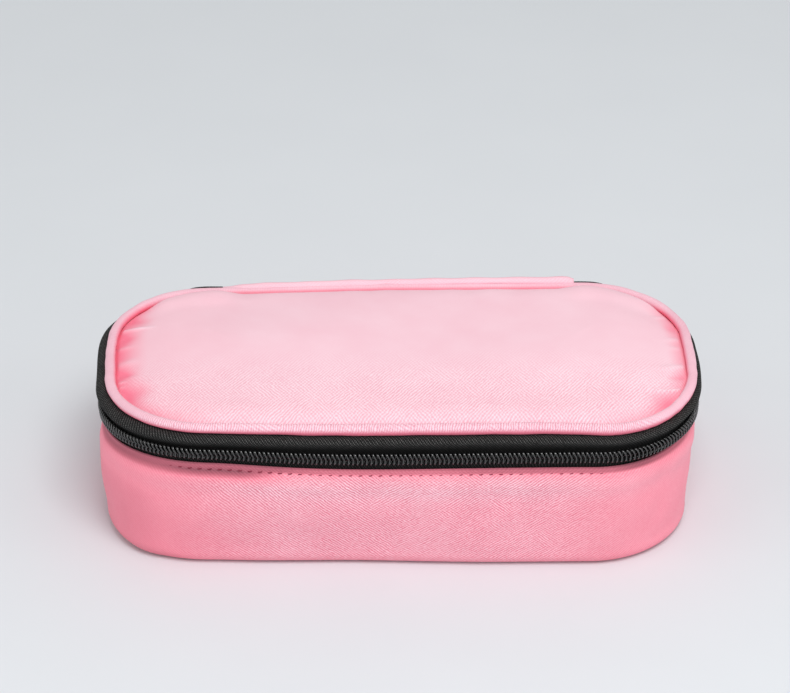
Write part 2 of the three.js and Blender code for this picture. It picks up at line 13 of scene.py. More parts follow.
import bmesh
import bpy
import numpy as np
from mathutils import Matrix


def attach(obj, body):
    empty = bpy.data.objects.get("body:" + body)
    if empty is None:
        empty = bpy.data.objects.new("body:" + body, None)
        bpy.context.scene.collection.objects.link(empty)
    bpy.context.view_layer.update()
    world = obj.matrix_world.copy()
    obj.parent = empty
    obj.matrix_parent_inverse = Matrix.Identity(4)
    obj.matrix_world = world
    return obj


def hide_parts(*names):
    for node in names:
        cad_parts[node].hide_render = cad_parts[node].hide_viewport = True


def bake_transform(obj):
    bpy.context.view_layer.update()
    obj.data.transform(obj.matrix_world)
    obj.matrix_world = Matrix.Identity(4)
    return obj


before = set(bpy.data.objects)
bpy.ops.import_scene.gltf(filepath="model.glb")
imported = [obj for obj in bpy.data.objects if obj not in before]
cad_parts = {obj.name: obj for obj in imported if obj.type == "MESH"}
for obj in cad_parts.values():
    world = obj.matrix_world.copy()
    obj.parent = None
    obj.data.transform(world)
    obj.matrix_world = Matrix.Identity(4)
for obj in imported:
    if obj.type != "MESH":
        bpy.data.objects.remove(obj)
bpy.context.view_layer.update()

log = logging.getLogger("cooling_case")

MM = 0.001
UV_PER_MM = 0.1
WELD = 1e-7
Colour = tuple[float, float, float]
Mover = Callable[[np.ndarray], np.ndarray]


class Body(Enum):
    """The moving bodies of the case."""

    BASE = "base"
    LID = "lid"
    SLIDER = "slider"
    PULL = "pull"


class Slot(Enum):
    """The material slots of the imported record."""

    TWILL = "pink_twill"
    PIPING = "pink_piping"
    TAPE = "black_tape"
    COIL = "black_coil"
    BINDING = "black_binding"
    ELASTIC = "black_elastic"
    FOAM = "insulation_foam"
    FOIL = "foil_lining"
    NET = "black_net"
    GEL = "gel_pack"
    METAL = "black_metal"


# Shared shapes and small sums


def smooth(value: np.ndarray, low: float, high: float) -> np.ndarray:
    """Ease from 0 at low to 1 at high, which may be below low."""
    share = np.clip((np.asarray(value, float) - low) / (high - low), 0.0, 1.0)
    return share * share * (3.0 - 2.0 * share)


def bell(value: np.ndarray, middle: float, width: float) -> np.ndarray:
    """Return a hump of height 1 that drops to about a third at its width."""
    return np.exp(-(((np.asarray(value, float) - middle) / width) ** 2))


def normed(vectors: np.ndarray) -> np.ndarray:
    """Return rows of numbers, each scaled to a length of 1."""
    return vectors / np.linalg.norm(vectors, axis=1)[:, None]


def full_turn(count: int) -> np.ndarray:
    """Return evenly spaced angles once round."""
    return np.arange(count) * 2.0 * math.pi / count


def looped(rows: np.ndarray) -> np.ndarray:
    """Return rows with the first one once more at the end."""
    return np.concatenate([rows, rows[:1]])


def put(name: str, data: Any) -> bpy.types.Object:
    """Return a new object in the scene that shows some data."""
    thing = bpy.data.objects.new(name, data)
    bpy.context.scene.collection.objects.link(thing)
    return thing


class Ripple:
    """A smooth random field made of a few fixed waves."""

    def __init__(self, length: float, seed: int, waves: int = 9) -> None:
        """Draw waves from a seed, with crests that are usually a length apart."""
        draw = np.random.default_rng(seed)
        heading = normed(draw.normal(size=(waves, 3)))
        self.pulse = heading * (2.0 * math.pi / (length * draw.uniform(0.7, 1.5, (waves, 1))))
        self.phase = draw.uniform(0.0, 2.0 * math.pi, waves)

    def __call__(self, points: np.ndarray) -> np.ndarray:
        """Return the field, about -1 to 1, at points of three numbers."""
        waves = np.sin(points @ self.pulse.T + self.phase)
        return waves.sum(axis=-1) / math.sqrt(len(self.phase) / 2.0) / 1.6


@dataclass(frozen=True)
class CaseLine:
    """The level outline of the case, from the middle of the back, past the left end."""

    half_length: float = 102.5
    half_depth: float = 50.0
    corner: float = 38.0

    @property
    def corner_x(self) -> float:
        """Return how far the middle of a corner is to the side."""
        return self.half_length - self.corner

    @property
    def corner_y(self) -> float:
        """Return how far the middle of a corner is to the back."""
        return self.half_depth - self.corner

    @property
    def total(self) -> float:
        """Return the length once round."""
        return 4.0 * (self.corner_x + self.corner_y) + 2.0 * math.pi * self.corner

    def frames(self, run: np.ndarray) -> tuple[np.ndarray, np.ndarray]:
        """Find places on the outline.

        Args:
            run: Distances along the outline, in millimetres.

        Returns:
            The points and the directions out of the case, each as pairs.
        """
        across, along, quarter = self.corner_x, self.corner_y, self.corner * math.pi / 2.0
        lines = [
            ((0.0, self.half_depth), (-1.0, 0.0), across),
            ((-self.half_length, along), (0.0, -1.0), 2.0 * along),
            ((-across, -self.half_depth), (1.0, 0.0), 2.0 * across),
            ((self.half_length, -along), (0.0, 1.0), 2.0 * along),
            ((across, self.half_depth), (-1.0, 0.0), across),
        ]
        arcs = [(-across, along), (-across, -along), (across, -along), (across, along)]
        points, out = np.zeros((len(run), 2)), np.zeros((len(run), 2))
        begin = 0.0
        for turn, (start, heading, length) in enumerate(lines):
            here = (run >= begin) & (run <= begin + length)
            points[here] = np.array(start) + np.outer(run[here] - begin, heading)
            out[here] = (heading[1], -heading[0])
            begin += length
            if turn < len(arcs):
                here = (run > begin) & (run < begin + quarter)
                angle = (turn + 1) * math.pi / 2.0 + (run[here] - begin) / self.corner
                out[here] = np.stack([np.cos(angle), np.sin(angle)], axis=1)
                points[here] = np.array(arcs[turn]) + self.corner * out[here]
                begin += quarter
        return points, out


LINE = CaseLine()


@dataclass
class Track:
    """A run of places on the outline, closed or with two ends."""

    points: np.ndarray
    out: np.ndarray
    run: np.ndarray
    closed: bool = False

    @classmethod
    def around(cls, count: int) -> "Track":
        """Return a closed track of evenly spaced places."""
        run = np.arange(count) * LINE.total / count
        return cls(*LINE.frames(run), run, True)

    @classmethod
    def between(cls, start: float, end: float, step: float) -> "Track":
        """Return an open track between two distances along the outline."""
        run = np.linspace(start, end, max(2, round((end - start) / step) + 1))
        return cls(*LINE.frames(run), run)

    @classmethod
    def straight(cls, half: float, y: float, step: float) -> "Track":
        """Return an open track along the back, from the right to the left."""
        x = np.linspace(half, -half, max(2, round(2.0 * half / step) + 1))
        return cls(np.stack([x, np.full_like(x, y)], 1), np.tile((0.0, 1.0), (len(x), 1)), half - x)

    @property
    def inward(self) -> np.ndarray:
        """Return the level directions into the case, as rows of three."""
        return np.pad(-self.out, ((0, 0), (0, 1)))

    def section(self, profile: np.ndarray) -> np.ndarray:
        """Return a grid of points, with a row for each inset and height of a profile."""
        xy = self.points[None] - self.out[None] * profile[:, 0][:, None, None]
        z = np.broadcast_to(profile[:, 1][:, None, None], (*xy.shape[:2], 1))
        return np.concatenate([xy, z], axis=2)


def lengths(line: np.ndarray) -> np.ndarray:
    """Return the distance of each point along a line of points."""
    steps = np.linalg.norm(np.diff(line, axis=0), axis=1)
    return np.concatenate([[0.0], np.cumsum(steps)])


def eased(corners: Sequence[tuple[float, float]], radius: float, steps: int = 6) -> np.ndarray:
    """Round the inner corners of a line.

    Args:
        corners: Points of the line.
        radius: How far before and after a corner the bend reaches.
        steps: Points in each bend.

    Returns:
        The rounded line.
    """
    pts = np.array(corners, float)
    line = [pts[0]]
    for before, here, after in zip(pts[:-2], pts[1:-1], pts[2:]):
        reach = min(radius, np.linalg.norm(here - before) / 2.2, np.linalg.norm(after - here) / 2.2)
        first = here + (before - here) / np.linalg.norm(before - here) * reach
        last = here + (after - here) / np.linalg.norm(after - here) * reach
        for share in np.linspace(0.0, 1.0, steps):
            line.append((1 - share) ** 2 * first + 2 * share * (1 - share) * here + share**2 * last)
    line.append(pts[-1])
    return np.array(line)


def divided(line: np.ndarray, step: float) -> np.ndarray:
    """Return a line with points no further apart than a step."""
    rows = [line[:1]]
    for start, end in zip(line[:-1], line[1:]):
        count = max(1, math.ceil(np.linalg.norm(end - start) / step))
        rows.append(start + (end - start) * np.linspace(0, 1, count + 1)[1:, None])
    return np.concatenate(rows)


def ribbon(line: np.ndarray, wall: float) -> np.ndarray:
    """Return the closed outline of a line with a thickness and rounded edges."""
    ahead = normed(np.gradient(line, axis=0))
    side = np.stack([ahead[:, 1], -ahead[:, 0]], axis=1) * wall / 2.0
    turn = np.linspace(0.0, math.pi, 5)[1:-1, None]
    end = line[-1] + side[-1] * np.cos(turn) + ahead[-1] * wall / 2.0 * np.sin(turn)
    start = line[0] - side[0] * np.cos(turn) - ahead[0] * wall / 2.0 * np.sin(turn)
    return np.concatenate([line + side, end, (line - side)[::-1], start])


@dataclass
class Form:
    """A mesh in the making: points in millimetres, faces and their cloth coordinates."""

    points: np.ndarray
    quads: np.ndarray
    cloth: np.ndarray
    caps: list[list[int]] = field(default_factory=list)
    # Painted shade from 0 to 1 at each point, which the finishes turn into darker colour.
    painted_shade: Optional[np.ndarray] = None
    weld: bool = False

    @classmethod
    def grid(
        cls,
        grid: np.ndarray,
        u: np.ndarray,
        v: np.ndarray,
        wrap: tuple[bool, bool],
        level_rows: Sequence[int] = (),
    ) -> "Form":
        """Skin a grid of points.

        Args:
            grid: Rows of points, one row for each step of a profile.
            u: Cloth coordinate of the columns, with one more where they close.
            v: Cloth coordinate of the rows, with one more where they close.
            wrap: Whether the rows close on themselves, and whether the columns do.
            level_rows: Rows of faces whose cloth is laid flat, by x and y; a form with any is welded.

        Returns:
            The form, its faces pointing out of a closed solid.
        """
        rows, columns = grid.shape[:2]
        row = np.arange(rows if wrap[0] else rows - 1)
        column = np.arange(columns if wrap[1] else columns - 1)
        r, c = np.meshgrid(row, column, indexing="ij")
        r, c = r.ravel(), c.ravel()
        corners = [(r, c), (r, c + 1), (r + 1, c + 1), (r + 1, c)]
        quads = np.stack([(a % rows) * columns + b % columns for a, b in corners], axis=1)
        points = grid.reshape(-1, 3)
        cloth = np.stack([np.stack([u[b], v[a]], axis=1) for a, b in corners], axis=1)
        flat = np.isin(r, np.asarray(level_rows, int))
        cloth[flat] = points[quads[flat]][..., :2]
        caps = []
        if wrap[0] and not wrap[1]:
            first = [index * columns for index in range(rows)]
            caps = [first, [index + columns - 1 for index in first][::-1]]
        form = cls(points, quads, cloth, caps, weld=len(level_rows) > 0)
        return form if form.volume() >= 0.0 else form.turned()

    @classmethod
    def shell(cls, track: Track, grid: np.ndarray) -> "Form":
        """Skin rows that run round the case, with their cloth laid flat."""
        u = np.append(track.run, LINE.total)
        return cls.grid(grid, u, np.zeros(len(grid)), (False, True), range(len(grid)))

    def volume(self) -> float:
        """Return the signed volume inside the faces."""
        a, b, c, d = (self.points[self.quads[:, i]] for i in range(4))
        total = np.einsum("ij,ij->i", a, np.cross(b, c)) + np.einsum("ij,ij->i", a, np.cross(c, d))
        return float(total.sum()) / 6.0

    def turned(self) -> "Form":
        """Return the same form with its faces turned over."""
        caps = [cap[::-1] for cap in self.caps]
        return replace(self, quads=self.quads[:, ::-1], cloth=self.cloth[:, ::-1], caps=caps)

    def normals(self) -> np.ndarray:
        """Return a direction out of the form at every point."""
        a, b, c, d = (self.points[self.quads[:, i]] for i in range(4))
        face = np.cross(c - a, d - b)
        total = np.zeros_like(self.points)
        for corner in range(4):
            np.add.at(total, self.quads[:, corner], face)
        return total / np.maximum(np.linalg.norm(total, axis=1), 1e-12)[:, None]

    def outward(self) -> np.ndarray:
        """Return how far each point faces away from the middle of the case."""
        return np.einsum("ij,ij->i", self.normals()[:, :2], self.points[:, :2])

    def swollen(self, amount: np.ndarray) -> "Form":
        """Return the form with each point moved out by its own amount."""
        return replace(self, points=self.points + self.normals() * amount[:, None])

    def moved(self, mover: Mover) -> "Form":
        """Return the form with its points passed through a mover."""
        return replace(self, points=mover(self.points))

    def shaded(self, painted_shade: np.ndarray) -> "Form":
        """Return the form with a share from 0 to 1 of painted shade at each point."""
        return replace(self, painted_shade=np.clip(painted_shade, 0.0, 1.0))

    def mesh(self, name: str) -> bpy.types.Mesh:
        """Return the form as a mesh in metres, with its cloth coordinates as a UV map."""
        mesh = bpy.data.meshes.new(name)
        mesh.from_pydata((self.points * MM).tolist(), [], self.quads.tolist() + self.caps)
        layer = mesh.uv_layers.new(name="cloth")
        edge = [self.points[cap][:, :2] for cap in self.caps]
        values = np.concatenate([self.cloth.reshape(-1, 2), *edge]) * UV_PER_MM
        layer.data.foreach_set("uv", values.astype(np.float32).ravel())
        # The painted shade goes to the finishes as a point attribute.
        if self.painted_shade is not None:
            share = mesh.attributes.new("painted_shade", "FLOAT", "POINT")
            share.data.foreach_set("value", self.painted_shade.astype(np.float32))
        if self.weld:
            work = bmesh.new()
            work.from_mesh(mesh)
            bmesh.ops.remove_doubles(work, verts=work.verts, dist=WELD)
            bmesh.ops.dissolve_degenerate(work, edges=work.edges, dist=WELD)
            work.to_mesh(mesh)
            work.free()
        mesh.shade_smooth()
        mesh.update()
        return mesh


def loft(track: Track, profile: np.ndarray) -> Form:
    """Sweep a closed profile of insets and heights along a track, capped at open ends."""
    u = np.append(track.run, LINE.total) if track.closed else track.run
    return Form.grid(track.section(profile), u, lengths(looped(profile)), (True, track.closed))


def settle(points: np.ndarray) -> np.ndarray:
    """Let the stitched case sag and lean a little, as the photographed one does.

    Args:
        points: Places on the new case, in millimetres.

    Returns:
        The same places on the case as it stands.
    """
    x, y, z = points.T
    moved = points.copy()
    front, back, lid = smooth(y, -6.0, -42.0), smooth(y, 4.0, 40.0), smooth(z, 50.8, 53.6)
    # The upper wall and the zipper rise at the left front and dip elsewhere.
    upper = front * smooth(z, 16.0, 38.0)
    lift = 1.9 * bell(x, -72.0, 32.0) - 0.35 * bell(x, -8.0, 34.0) - 0.4 * smooth(x, 58.0, 88.0)
    moved[:, 2] += lift * upper * (1.0 - 0.6 * smooth(z, 40.0, 54.0))
    moved[:, 2] += 1.1 * bell(x, -70.0, 28.0) * upper * smooth(z, 54.0, 40.0)
    # The foot of the front wall is tucked in, most of all at the left.
    tuck = 1.9 * smooth(x, 34.0, -26.0) + 0.9 * bell(x, -66.0, 14.0)
    tuck *= smooth(x, -93.0, -77.0) * smooth(y, -30.0, -46.0) * smooth(z, 28.0, 3.0)
    moved[:, 1] += tuck
    # The lid hangs at its rear left and front right corners.
    hang = back * smooth(x, 6.0, -62.0) + front * smooth(x, 44.0, 78.0)
    moved[:, 2] -= 1.1 * hang * smooth(z, 47.0, 53.5)
    # The right wall stands further in than the zipper, and the left wall leans out at its foot.
    below = smooth(z, 43.0, 40.6)
    wall = below * (3.0 + 0.5 * bell(z, 41.0, 3.0) - 0.4 * bell(z, 35.0, 3.5))
    moved[:, 0] -= smooth(x, 10.0, 96.0) * (wall - 1.0 * smooth(z, 7.0, 0.0))
    moved[:, 0] -= smooth(x, -10.0, -96.0) * (0.5 * smooth(z, 36.0, 20.0) - 0.8 * bell(z, 37.0, 5.0))
    # The zipper leans in at the right end, and the ends of the lid lie a little to the side.
    lean = smooth(x, 62.0, 98.0) * smooth(y, 18.0, -8.0) * smooth(z, 51.0, 44.0)
    moved[:, 0] -= 1.7 * lean * (1.0 - below)
    aside = 0.8 - 0.7 * smooth(x, 60.0, 90.0) * bell(y, -4.0, 16.0)
    aside -= (1.4 - 0.7 * bell(y, 5.0, 13.0)) * smooth(x, 0.0, -40.0) * smooth(z, 49.6, 52.4)
    moved[:, 0] -= aside * smooth(np.abs(x), 60.0, 100.0) * smooth(z, 44.0, 50.0)
    # The rear corners are fuller at the left and rounder at the right.
    corner = smooth(np.abs(x), 66.0, 84.0) * smooth(y, 10.0, 28.0)
    out = np.where(x < 0.0, 0.65 * smooth(z, 45.6, 48.4), -0.45 * lid) * corner
    moved[:, :2] += np.stack([np.sign(x) * out, out], axis=1)
    return moved


# Finishes


def rgba(value: Any) -> Any:
    """Return a colour with full cover, and anything else as it is."""
    return (*value, 1.0) if isinstance(value, tuple) else value


class Graph:
    """A node tree, written step by step."""

    def __init__(self, tree: bpy.types.NodeTree) -> None:
        """Take a tree to write in."""
        self.tree = tree

    def feed(self, socket: bpy.types.NodeSocket, value: Any) -> None:
        """Link a socket to another one, or set its value."""
        if isinstance(value, bpy.types.NodeSocket):
            self.tree.links.new(value, socket)
        else:
            socket.default_value = value

    def node(self, kind: str, inputs: Optional[dict[Any, Any]] = None, **settings: Any) -> bpy.types.Node:
        """Add a node.

        Args:
            kind: Blender's name for the node.
            inputs: Values or sockets for its inputs, by name or number.
            settings: The node's own options.

        Returns:
            The node.
        """
        node = self.tree.nodes.new(kind)
        for key, value in settings.items():
            setattr(node, key, value)
        for key, value in (inputs or {}).items():
            self.feed(node.inputs[key], value)
        return node

    def add(self, kind: str, inputs: Optional[dict[Any, Any]] = None, **settings: Any) -> Any:
        """Add a node and return its first output."""
        return self.node(kind, inputs, **settings).outputs[0]


class Recipe(Graph):
    """A material with one shader."""

    def __init__(self, name: str) -> None:
        """Start an empty material with a shader and its output."""
        self.material = bpy.data.materials.new(name)
        self.material.use_nodes = True
        super().__init__(self.material.node_tree)
        self.tree.nodes.clear()
        self.shader = self.node("ShaderNodeBsdfPrincipled")
        self.node("ShaderNodeOutputMaterial", {0: self.shader.outputs[0]})

    def maths(self, operation: str, first: Any, second: Any = 0.0, third: Any = 0.0) -> Any:
        """Return the output of a sum of up to three values."""
        return self.add("ShaderNodeMath", {0: first, 1: second, 2: third}, operation=operation)

    def place(self) -> Any:
        """Return the place on the piece itself, in metres."""
        return self.node("ShaderNodeTexCoord").outputs["Object"]

    def parts(self, vector: Any) -> Sequence[Any]:
        """Return the three numbers of a vector."""
        return self.node("ShaderNodeSeparateXYZ", {0: vector}).outputs

    def cloth(self) -> tuple[Any, Any]:
        """Return the two cloth coordinates, in millimetres."""
        inputs = {0: self.node("ShaderNodeTexCoord").outputs["UV"], 1: (1.0 / UV_PER_MM,) * 3}
        parts = self.parts(self.add("ShaderNodeVectorMath", inputs, operation="MULTIPLY"))
        return parts[0], parts[1]

    def noise(self, size: float, detail: float = 2.0, roughness: float = 0.5) -> Any:
        """Return a noise of the given size in millimetres, on the piece itself."""
        scale = 1.0 / (size * MM)
        inputs = {"Vector": self.place(), "Scale": scale, "Detail": detail, "Roughness": roughness}
        return self.add("ShaderNodeTexNoise", inputs)

    def cells(self, size: float, **settings: Any) -> Any:
        """Return cells of the given size in millimetres, on the piece itself."""
        inputs = {"Vector": self.place(), "Scale": 1.0 / (size * MM)}
        return self.add("ShaderNodeTexVoronoi", inputs, **settings)

    def wave(self, u: Any, v: Any, pitch: tuple[float, float]) -> Any:
        """Return ridges from 0 to 1 that repeat at a pitch along each coordinate."""
        along = self.maths("MULTIPLY", u, 2.0 * math.pi / pitch[0])
        phase = self.maths("MULTIPLY_ADD", v, 2.0 * math.pi / pitch[1], along)
        return self.maths("MULTIPLY_ADD", self.maths("SINE", phase), 0.5, 0.5)

    def blend(self, share: Any, low: Any, high: Any) -> Any:
        """Return a colour between two."""
        inputs = {0: share, 6: rgba(low), 7: rgba(high)}
        return self.node("ShaderNodeMix", inputs, data_type="RGBA").outputs[2]

    def spread(self, value: Any, low: float, high: float) -> Any:
        """Return a value from 0 to 1 stretched between two others."""
        return self.maths("MULTIPLY_ADD", value, high - low, low)

    def painted_shade(self) -> Any:
        """Return the painted shade of the piece at each point, from 0 to 1."""
        return self.node("ShaderNodeAttribute", attribute_name="painted_shade").outputs["Fac"]

    def bump(self, height: Any, depth: float, strength: float = 1.0) -> None:
        """Raise the surface by a height from 0 to 1, up to a depth in millimetres."""
        inputs = {"Height": height, "Distance": depth * MM, "Strength": strength}
        self.feed(self.shader.inputs["Normal"], self.add("ShaderNodeBump", inputs))

    def shade(self, **values: Any) -> bpy.types.Material:
        """Set the shader's inputs and return the finished material."""
        for key, value in values.items():
            name = key.replace("_", " ").title().replace("Ior", "IOR")
            self.feed(self.shader.inputs[name], rgba(value))
        return self.material


@dataclass(frozen=True)
class Finish:
    """A finish that varies between two colours."""

    name: str
    light: Colour
    deep: Colour


@dataclass(frozen=True)
class TwillCloth(Finish):
    """Dyed cloth with diagonal ribs crossed by a second, fainter set."""

    # The first colour is painted into shaded places. The rim colour is a darker painted shadow, used where
    # that painted shade passes 0.6, as under the zipper.
    painted_shade: Colour
    rim: Optional[Colour] = None
    rib: tuple[float, float] = (1.48, -1.0)
    cross: tuple[float, float] = (1.35, 1.08)
    cross_share: float = 0.4
    sweep: float = 0.0
    calm: tuple[int, float, float, float] = (0, 200.0, 300.0, 1.0)
    depth: float = 0.08
    sheen: float = 0.05

    def material(self) -> bpy.types.Material:
        """Return the cloth as a material, its ribs calmer from one place to another."""
        mix = Recipe(self.name)
        u, v = mix.cloth()
        swayed = mix.maths("ADD", u, mix.spread(mix.noise(3.5, 4.0, 0.75), -1.1, 1.1))
        place = mix.parts(mix.place())
        across = mix.maths("MULTIPLY_ADD", place[0], -self.sweep / MM, self.cross_share)
        turn = mix.maths("ADD", across, mix.spread(mix.noise(11.0, 2.0), -1.6, 1.6))
        share = mix.maths("MINIMUM", mix.maths("MAXIMUM", turn, 0.1), 0.9)
        rib, cross = mix.wave(swayed, v, self.rib), mix.wave(swayed, v, self.cross)
        ribs = mix.maths("MULTIPLY_ADD", mix.maths("SUBTRACT", cross, rib), share, rib)
        axis, start, end, floor = self.calm
        along = place[axis] if axis else mix.maths("ABSOLUTE", place[0])
        limits = {"Value": along, 1: start * MM, 2: end * MM, 3: 1.0, 4: floor}
        strength = mix.add("ShaderNodeMapRange", limits, interpolation_type="SMOOTHSTEP")
        grainy = mix.maths("ADD", ribs, mix.spread(mix.noise(0.9, 3.0, 0.6), -0.95, -0.05))
        weave = mix.maths("MULTIPLY_ADD", grainy, strength, 0.5)
        patchy = mix.maths("ADD", weave, mix.spread(mix.noise(16.0, 4.0), -0.2, 0.2))
        mix.bump(weave, self.depth, 0.6)
        # Blend towards the painted shade colour, then towards the darker painted shadow colour where the
        # painted shade is deepest.
        dyed = mix.blend(mix.painted_shade(), mix.blend(patchy, self.deep, self.light), self.painted_shade)
        if self.rim is not None:
            most = mix.add("ShaderNodeMapRange", {"Value": mix.painted_shade(), 1: 0.6, 2: 1.0})
            dark, pale = (tuple(share * value for value in self.rim) for share in (0.8, 1.15))
            dyed = mix.blend(most, dyed, mix.blend(patchy, dark, pale))
        return mix.shade(
            base_color=dyed,
            roughness=mix.spread(mix.noise(2.0), 0.6, 0.76),
            sheen_weight=self.sheen,
            sheen_roughness=0.5,
            specular_ior_level=0.2,
        )


@dataclass(frozen=True)
class WovenTape(Finish):
    """Fine woven tape, webbing or binding in one dark colour."""

    rib: tuple[float, float] = (0.62, 0.62)
    cross: tuple[float, float] = (0.62, -0.62)
    depth: float = 0.06
    roughness: float = 0.75

    def material(self) -> bpy.types.Material:
        """Return the tape as a material."""
        mix = Recipe(self.name)
        u, v = mix.cloth()
        weave = mix.maths("MULTIPLY", mix.wave(u, v, self.rib), mix.wave(u, v, self.cross))
        glint = mix.maths("MULTIPLY", weave, mix.spread(mix.noise(0.7, 3.0, 0.6), -0.5, 2.3))
        mix.bump(weave, self.depth, 0.8)
        # The tape is painted near black where painted shade is laid on it.
        return mix.shade(
            base_color=mix.blend(mix.painted_shade(), mix.blend(glint, self.deep, self.light), self.deep),
            roughness=mix.spread(mix.noise(1.5), self.roughness - 0.12, self.roughness + 0.08),
            specular_ior_level=0.12,
        )


@dataclass(frozen=True)
class Moulded(Finish):
    """Smooth nylon, painted metal or thread with a faint grain."""

    roughness: float
    grain: float = 0.6
    depth: float = 0.01
    metallic: float = 0.0
    coat: float = 0.0
    gloss: float = 0.5
    ior: float = 1.5

    def material(self) -> bpy.types.Material:
        """Return the finish as a material."""
        mix = Recipe(self.name)
        grain = mix.noise(self.grain, 3.0)
        mix.bump(grain, self.depth, 0.6)
        return mix.shade(
            base_color=mix.blend(grain, self.deep, self.light),
            roughness=mix.spread(mix.noise(3.0), self.roughness - 0.06, self.roughness + 0.1),
            metallic=self.metallic,
            specular_ior_level=self.gloss,
            ior=self.ior,
            coat_weight=self.coat,
            coat_roughness=0.25,
        )


class FoilFilm(Finish):
    """Silver film with soft creases."""

    def material(self) -> bpy.types.Material:
        """Return the film as a material."""
        mix = Recipe(self.name)
        crease = mix.cells(9.0, feature="DISTANCE_TO_EDGE")
        sharp = mix.maths("MINIMUM", mix.maths("MULTIPLY", crease, 4.0), 1.0)
        mix.bump(mix.maths("ADD", sharp, mix.noise(4.0, 4.0)), 0.25, 0.5)
        # The film is painted darker along its creases, as painted shade.
        return mix.shade(
            base_color=mix.blend(sharp, self.deep, self.light),
            roughness=mix.spread(mix.noise(6.0), 0.2, 0.38),
            metallic=0.85,
        )


class OpenFoam(Finish):
    """Pale foam with small cells."""

    def material(self) -> bpy.types.Material:
        """Return the foam as a material."""
        mix = Recipe(self.name)
        cells = mix.cells(0.8)
        mix.bump(cells, 0.15, 0.8)
        return mix.shade(base_color=mix.blend(cells, self.deep, self.light), roughness=0.9)


class GelFilm(Finish):
    """A clear pouch over pale blue gel."""

    def material(self) -> bpy.types.Material:
        """Return the pouch as a material."""
        mix = Recipe(self.name)
        cloudy = mix.noise(11.0, 4.0)
        mix.bump(mix.maths("ADD", cloudy, mix.noise(2.5, 3.0)), 0.3, 0.35)
        return mix.shade(
            base_color=mix.blend(cloudy, self.deep, self.light),
            roughness=mix.spread(mix.noise(5.0), 0.2, 0.34),
            subsurface_weight=0.25,
            subsurface_scale=0.004,
            coat_weight=0.6,
            coat_roughness=0.12,
        )


class Finishes:
    """All the materials of the case, made once."""

    def __init__(self) -> None:
        """Write every material."""
        self.base_twill = TwillCloth(
            "pink_twill_tub",
            light=(1.0, 0.65, 0.735),
            deep=(0.73, 0.2, 0.28),
            # The next two colours are painted shade, the second the darker painted shadow under the zipper.
            painted_shade=(0.97, 0.2, 0.285),
            rim=(0.31, 0.09, 0.122),
            cross_share=0.6,
            sweep=0.012,
            calm=(0, 52.0, 90.0, 0.4),
        ).material()
        # The lid's cloth is the tub's cloth painted paler, as painted light on the top that faces the lamps.
        self.lid_twill = TwillCloth(
            "pink_twill_lid",
            light=(0.965, 0.73, 0.8),
            deep=(0.83, 0.43, 0.515),
            painted_shade=(0.93, 0.22, 0.32),
            rib=(1.25, -1.75),
            cross=(1.3, 1.9),
            cross_share=0.3,
            calm=(1, -28.0, 2.0, 0.04),
        ).material()
        self.piping = TwillCloth(
            "pink_twill_piping",
            light=(0.95, 0.67, 0.75),
            deep=(0.74, 0.32, 0.41),
            painted_shade=(0.86, 0.19, 0.28),
            rib=(0.86, -6.0),
            cross=(2.2, 1.6),
            cross_share=0.15,
            calm=(1, -47.0, -36.0, 0.15),
        ).material()
        # The hinge cloth is also painted paler than the tub's, as painted light on its top fold.
        self.hinge = TwillCloth(
            "pink_twill_hinge",
            light=(0.955, 0.66, 0.74),
            deep=(0.9, 0.46, 0.55),
            painted_shade=(0.9, 0.3, 0.39),
            calm=(0, 0.0, 1.0, 0.3),
        ).material()
        # The thread is painted dark red, as painted shade of the stitches sunk in the cloth.
        self.thread = Moulded(
            "pink_thread", (0.34, 0.05, 0.09), (0.19, 0.02, 0.04), 0.85, gloss=0.1
        ).material()
        self.black_thread = Moulded("black_thread", (0.05, 0.05, 0.052), (0.02, 0.02, 0.021), 0.6).material()
        self.tape = WovenTape(
            "charcoal_tape", (0.12, 0.118, 0.116), (0.002, 0.002, 0.002), (0.73, 1.19), (1.1, -1.5), 0.07, 0.8
        ).material()
        self.coil = Moulded(
            "black_nylon", (0.014, 0.014, 0.0145), (0.007, 0.007, 0.0073), 0.1, ior=1.75
        ).material()
        self.binding = WovenTape(
            "black_binding_tape", (0.045, 0.045, 0.047), (0.012, 0.012, 0.0125), (0.9, 60.0), (60.0, 0.7), 0.1
        ).material()
        self.elastic = WovenTape(
            "black_elastic_band", (0.04, 0.04, 0.042), (0.01, 0.01, 0.0105), (1.1, 60.0), (60.0, 0.5), 0.12
        ).material()
        self.foam = OpenFoam("white_foam", (0.86, 0.85, 0.82), (0.66, 0.64, 0.6)).material()
        self.foil = FoilFilm("silver_film", (0.8, 0.81, 0.83), (0.62, 0.63, 0.65)).material()
        self.net = Moulded("black_net_yarn", (0.03, 0.03, 0.032), (0.012, 0.012, 0.0125), 0.55).material()
        self.gel = GelFilm("blue_gel_pouch", (0.5, 0.76, 0.92), (0.3, 0.58, 0.8)).material()
        self.metal = Moulded(
            "black_lacquer", (0.035, 0.035, 0.037), (0.015, 0.015, 0.016), 0.32, 0.9, 0.02, 0.6, 0.5
        ).material()


# Pieces and how they are handed over


@dataclass(frozen=True)
class Place:
    """Where a piece belongs: its body, record slot, the solid it stands for and how it is soft."""

    body: Body
    slot: Slot
    node: str = ""
    bends: bool = False
    fill: Optional[float] = None
    flat: Optional[tuple[float, float]] = None
    area: Optional[float] = None
    held: str = "stretched"
    rests_on: tuple[str, ...] = ()

    def padded(self, fill: float) -> "Place":
        """Return the place of a padded piece."""
        return replace(self, fill=fill)

    def sheet(self, flat: tuple[float, float], *rests_on: str, **more: Any) -> "Place":
        """Return the place of a sheet with its flat size and what it rests on."""
        return replace(self, flat=flat, rests_on=rests_on, **more)


